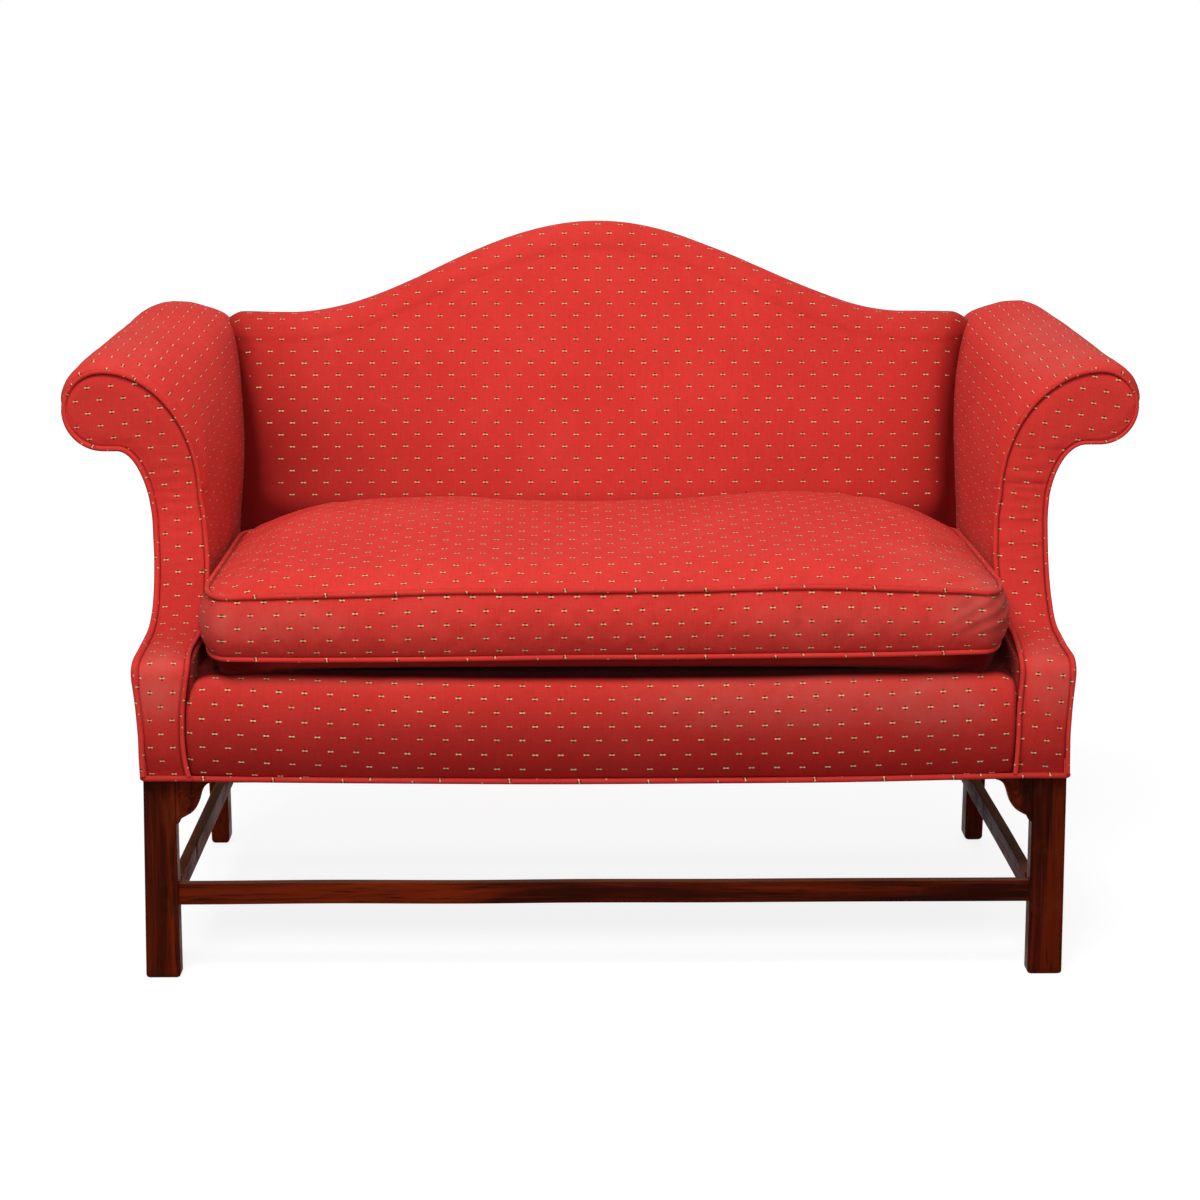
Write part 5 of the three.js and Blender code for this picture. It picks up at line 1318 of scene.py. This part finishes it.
def post_patches(side):
    """Raked rear leg that runs on up as the back post: a rounded rectangle carried up the side view's
    bends."""
    z = np.array([0, 0.0008, 0.003, 0.007, 0.05, 0.12, 0.2, RAIL_BOTTOM, RAIL_TOP, 0.5, 0.6, POST_HIGH.z])
    rake = REAR_RAKE * np.maximum(0, 1 - z / RAIL_BOTTOM)
    rear = back_line(z) + rake
    fore = np.where(z > RAIL_TOP, back_line(z) - POST_DEPTH, POST_FRONT + rake)
    worn = np.interp(z, [0, 0.0008, 0.003, 0.007], [0.0085, 0.0048, 0.0016, 0]) * FOOT_WEAR[side]
    low, high = POST_LOW.x + 0.003 * np.maximum(0, 1 - z / RAIL_BOTTOM), POST_HIGH.x
    square = rounded_loop([(0, 0), (1, 0), (1, 1), (0, 1)], 0.09)[None]
    x = (low + worn)[:, None] + (high - low - 2 * worn)[:, None] * square[..., 0]
    depth = (fore + worn)[:, None] + (rear - fore - 2 * worn)[:, None] * square[..., 1]
    grid = np.stack([x, FRONT + depth, z[:, None] + x * 0], -1)
    return on_side(closed_below(grid), side)


def beam_patches(node, axis, seed, notch=None):
    """Stretcher in the place of a frame node: a rectangle with rubbed arrises carried along one axis, its
    faces very slightly uneven, with a chipped dent in its upper inner arris at the notch's place."""
    low, high = (np.array(c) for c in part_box(node))
    across, up = [k for k in range(3) if k != axis]
    corners = [(low[across], low[up]), (high[across], low[up]),
               (high[across], high[up]), (low[across], high[up])]
    loop = rounded_loop(corners, STRETCHER_ARRIS)
    run = np.linspace(low[axis], high[axis], 150)
    grid = np.empty((len(run), len(loop), 3))
    grid[..., axis] = run[:, None]
    grid[..., across] = loop[None, :, 0]
    grid[..., up] = loop[None, :, 1] + ripple(run, run * 0, 0.25, seed)[:, None] * 0.0004
    if notch is not None:
        arris = np.exp(-(np.hypot(loop[:, 0] - high[0], loop[:, 1] - high[2]) / 0.006) ** 2)
        dent = np.exp(-((run - notch) / 0.007) ** 2)[:, None] * arris[None] * 0.0034
        grid[..., 0] -= dent
        grid[..., 2] -= dent
    return closed_below(grid)


def bracket_patches(side):
    """Carved corner bracket: columns from the leg to an ogee outline. Its face carries a bead along the
    outline, a hollow inside it, and lobes that fan out from a centre beside the leg."""
    root, top = HALF - LEG_WIDTH - GAP, RAIL_BOTTOM - GAP
    outline = through([
        (0.0525, 0.0), (0.0520, 0.0060), (0.0480, 0.0100), (0.0410, 0.0128), (0.0360, 0.0185),
        (0.0325, 0.0270), (0.0300, 0.0355), (0.0262, 0.0440), (0.0200, 0.0508), (0.0125, 0.0555),
        (0.0074, 0.0582), (0.0052, 0.0612), (0.0034, 0.0648), (0.0005, 0.0663)], 90)
    t = np.linspace(0, 1, 56)[None]
    out = outline[:, :1] * t
    drop = outline[:, 1:] + out * 0
    inset = outline[:, :1] * (1 - t)
    centre_out, centre_drop = 0.015, 0.024
    angle = np.arctan2(drop - centre_drop, out - centre_out)
    far = np.hypot(out - centre_out, drop - centre_drop)
    bead = 0.0010 * np.exp(-((inset - 0.0026) / 0.0012) ** 2)
    hollow = -0.0016 * np.exp(-((inset - 0.0062) / 0.0018) ** 2)
    lobes = 0.0012 * np.cos(angle * 5 + far * 230) * ramp(far, 0.002, 0.006) * ramp(inset, 0.006, 0.010)
    boss = 0.0015 * np.exp(-(far / 0.0034) ** 2)
    edge = -0.0012 * (1 - ramp(inset, 0, 0.0016))
    relief = (bead + hollow + lobes + boss + edge) * ramp(out, 0, 0.006) * ramp(drop, 0.0, 0.006)
    front = np.stack([root - out, FRONT + (0.0016 - relief), top - drop], -1)
    back = np.stack([root - out, FRONT + 0.017 + out * 0, top - drop], -1)
    return on_side(shell(front, back, np.stack([out, drop], -1)), side)


def wooden(name, patches, finish, node, sharp=30):
    """A piece of bare mahogany in the place of one frame node."""
    piece(name, patches, finish, [node], sharp=sharp)


def loose_thread():
    """A short pulled thread of the motif's cream yarn that hangs over the bottom welt beside the left
    bracket."""
    path = through([(-0.5330, -0.0135, 0.2785), (-0.5300, -0.0162, 0.2755), (-0.5262, -0.0168, 0.2722),
                    (-0.5245, -0.0160, 0.2695)], 26)
    path[:, 1] += FRONT
    return welt_ring(path, (0, -1, 0.2), 0.00045, False, 6)


# Finishes
cloth_back = crimson_cloth("crimson_back", wear=0.30)
# The patches on the arms' tops are partly faded cloth and partly painted sheen where the lamps fall on them
cloth_arms = crimson_cloth("crimson_arms", wear=0.35, faded_and_sheen=[
    ((HALF + 0.04, FRONT + 0.36, 0.80), (0.11, 0.26, 0.10), 0.60),
    ((-HALF - 0.08, FRONT + 0.34, 0.80), (0.10, 0.26, 0.10), 0.30)])
cloth_cushion = crimson_cloth("crimson_cushion", wear=0.55, faded_and_sheen=[
    ((-0.42, FRONT, 0.478), (0.14, 0.10, 0.035), 0.55), ((-0.500, FRONT, 0.48), (0.04, 0.06, 0.04), 0.3),
    ((0.485, FRONT, 0.488), (0.09, 0.10, 0.045), 0.95), ((0.30, FRONT, 0.478), (0.16, 0.10, 0.035), 0.35),
    ((0.45, FRONT + 0.05, 0.53), (0.12, 0.12, 0.05), 0.40)])
# Painted shade darkens the rail cover towards its bottom
cloth_rail = crimson_cloth("crimson_rail", wear=0.45, painted_shade_below=(0.262, 0.440, (0.42, 0.26, 0.28)), faded_and_sheen=[
    ((0.20, FRONT, 0.375), (0.22, 0.10, 0.060), 0.7), ((0.42, FRONT, 0.365), (0.10, 0.10, 0.055), 0.9),
    ((-0.30, FRONT, 0.41), (0.30, 0.10, 0.03), 0.4)])
# Painted shade darkens the facings towards their bottom
cloth_facing = crimson_cloth("crimson_facing", wear=0.40, painted_shade_below=(0.262, 0.400, (0.52, 0.38, 0.40)), faded_and_sheen=[
    ((-0.575, FRONT, 0.400), (0.05, 0.10, 0.07), 0.9), ((0.580, FRONT, 0.405), (0.05, 0.10, 0.07), 0.8)])
cloth_welt = crimson_cloth("crimson_welt", wear=0.60)
leg_wood = mahogany("mahogany_upright", 2)
stretcher_wood = mahogany("mahogany_across", 0, dust=0.55)
side_wood = mahogany("mahogany_fore_and_aft", 1, dust=1.0, gloss=0.008)
timber = sawn_timber("beech")
jute = jute_cloth("jute_yarn")
wire = spring_wire("spring_wire")
cambric = black_cambric("black_cambric")

# Covers
sides = {"right": 1, "left": -1}
piece("cover_inside_back", inside_back(), cloth_back, ["inside_back"])
piece("cover_outside_back", outside_back(), cloth_back, ["outside_back"])
piece("cover_seat_deck", seat_deck(), cloth_back, ["seat_deck"])
piece("cover_front_rail", rail_cover(), cloth_rail, ["front_rail_cover"])
for word, side in sides.items():
    seed = 100 + 50 * side
    piece(f"cover_inside_arm_{word}", inside_arm(side, seed), cloth_arms, [f"inside_arm_{word}"])
    piece(f"cover_outside_arm_{word}", outside_arm(side, seed + 7), cloth_arms, [f"outside_arm_{word}"])
    piece(f"cover_facing_{word}", facing(side, seed + 11), cloth_facing, [f"arm_facing_{word}"])
    piece(f"welt_facing_{word}", facing_welt(side), cloth_welt, [f"facing_welt_{word}"])
piece("welt_bottom", bottom_welt(), cloth_welt, ["bottom_welt"])
seam_ring = seat_cushion(cloth_cushion)
for level, height, seed in (("top", seam_high, 91), ("bottom", seam_low, 92)):
    welt = cushion_welt(seam_ring, height, seed)
    piece(f"welt_cushion_{level}", welt, cloth_welt, [f"cushion_welt_{level}"], body="cushion")
piece("loose_thread", loose_thread(), cloth_welt, [])

# Wood
for word, side in sides.items():
    wooden(f"leg_front_{word}", leg_patches(side), leg_wood, f"front_leg_{word}")
    wooden(f"leg_rear_{word}", post_patches(side), leg_wood, f"rear_post_{word}")
    wooden(f"carved_bracket_{word}", bracket_patches(side), leg_wood, f"bracket_{word}", sharp=40)
    beam = beam_patches(f"side_stretcher_{word}", 1, 81 + side, CHIP if side < 0 else None)
    wooden(f"rail_side_{word}", beam, side_wood, f"side_stretcher_{word}")
for word, seed in (("front", 84), ("rear", 85)):
    beam = beam_patches(f"{word}_stretcher", 0, seed)
    wooden(f"rail_stretcher_{word}", beam, stretcher_wood, f"{word}_stretcher")

# Frame nodes that stay, each with its own finish
by_slot = {"frame_timber": timber, "jute": jute, "spring_steel": wire, "cambric": cambric}
for part in frame["record"]["subparts"]:
    if part["material_slot"] in by_slot:
        node = frame["nodes"][part["node"]]
        node.data.materials.clear()
        node.data.materials.append(by_slot[part["material_slot"]])


def studio():
    """Pale floor and background, one large soft lamp above and to the left, a weaker one in front and one
    behind, and a dim sky."""
    reach = FLOOR_REACH
    plane = bpy.data.meshes.new("floor")
    plane.from_pydata([(-reach, -reach, 0), (reach, -reach, 0), (reach, reach, 0), (-reach, reach, 0)],
                      [], [(0, 1, 2, 3)])
    floor = placed("floor", plane)
    floor.data.materials.append(pale_floor("pale_floor"))
    for name, spot, size, power in LAMPS:
        data = bpy.data.lights.new(name, "AREA")
        data.shape = "RECTANGLE"
        data.size, data.size_y = size
        data.energy = power
        lamp = placed(name, data)
        lamp.location = spot
        lamp.rotation_mode = "QUATERNION"
        lamp.rotation_quaternion = (LAMP_TARGET - lamp.location).to_track_quat("-Z", "Y")
    sky = Finish(bpy.data.worlds.new("pale_sky"))
    scene.world = sky.owner
    seen = sky.seen_by("Is Camera Ray", "Is Glossy Ray")
    strength = sky.node("ShaderNodeMapRange", inputs={"Value": seen, "To Min": 0.25, "To Max": 1.0})
    glow = sky.node("ShaderNodeBackground", inputs={"Color": (1, 1, 1, 1), "Strength": strength})
    sky.onto_output(glow, "ShaderNodeOutputWorld")


studio()
scene.view_settings.view_transform = "Standard"
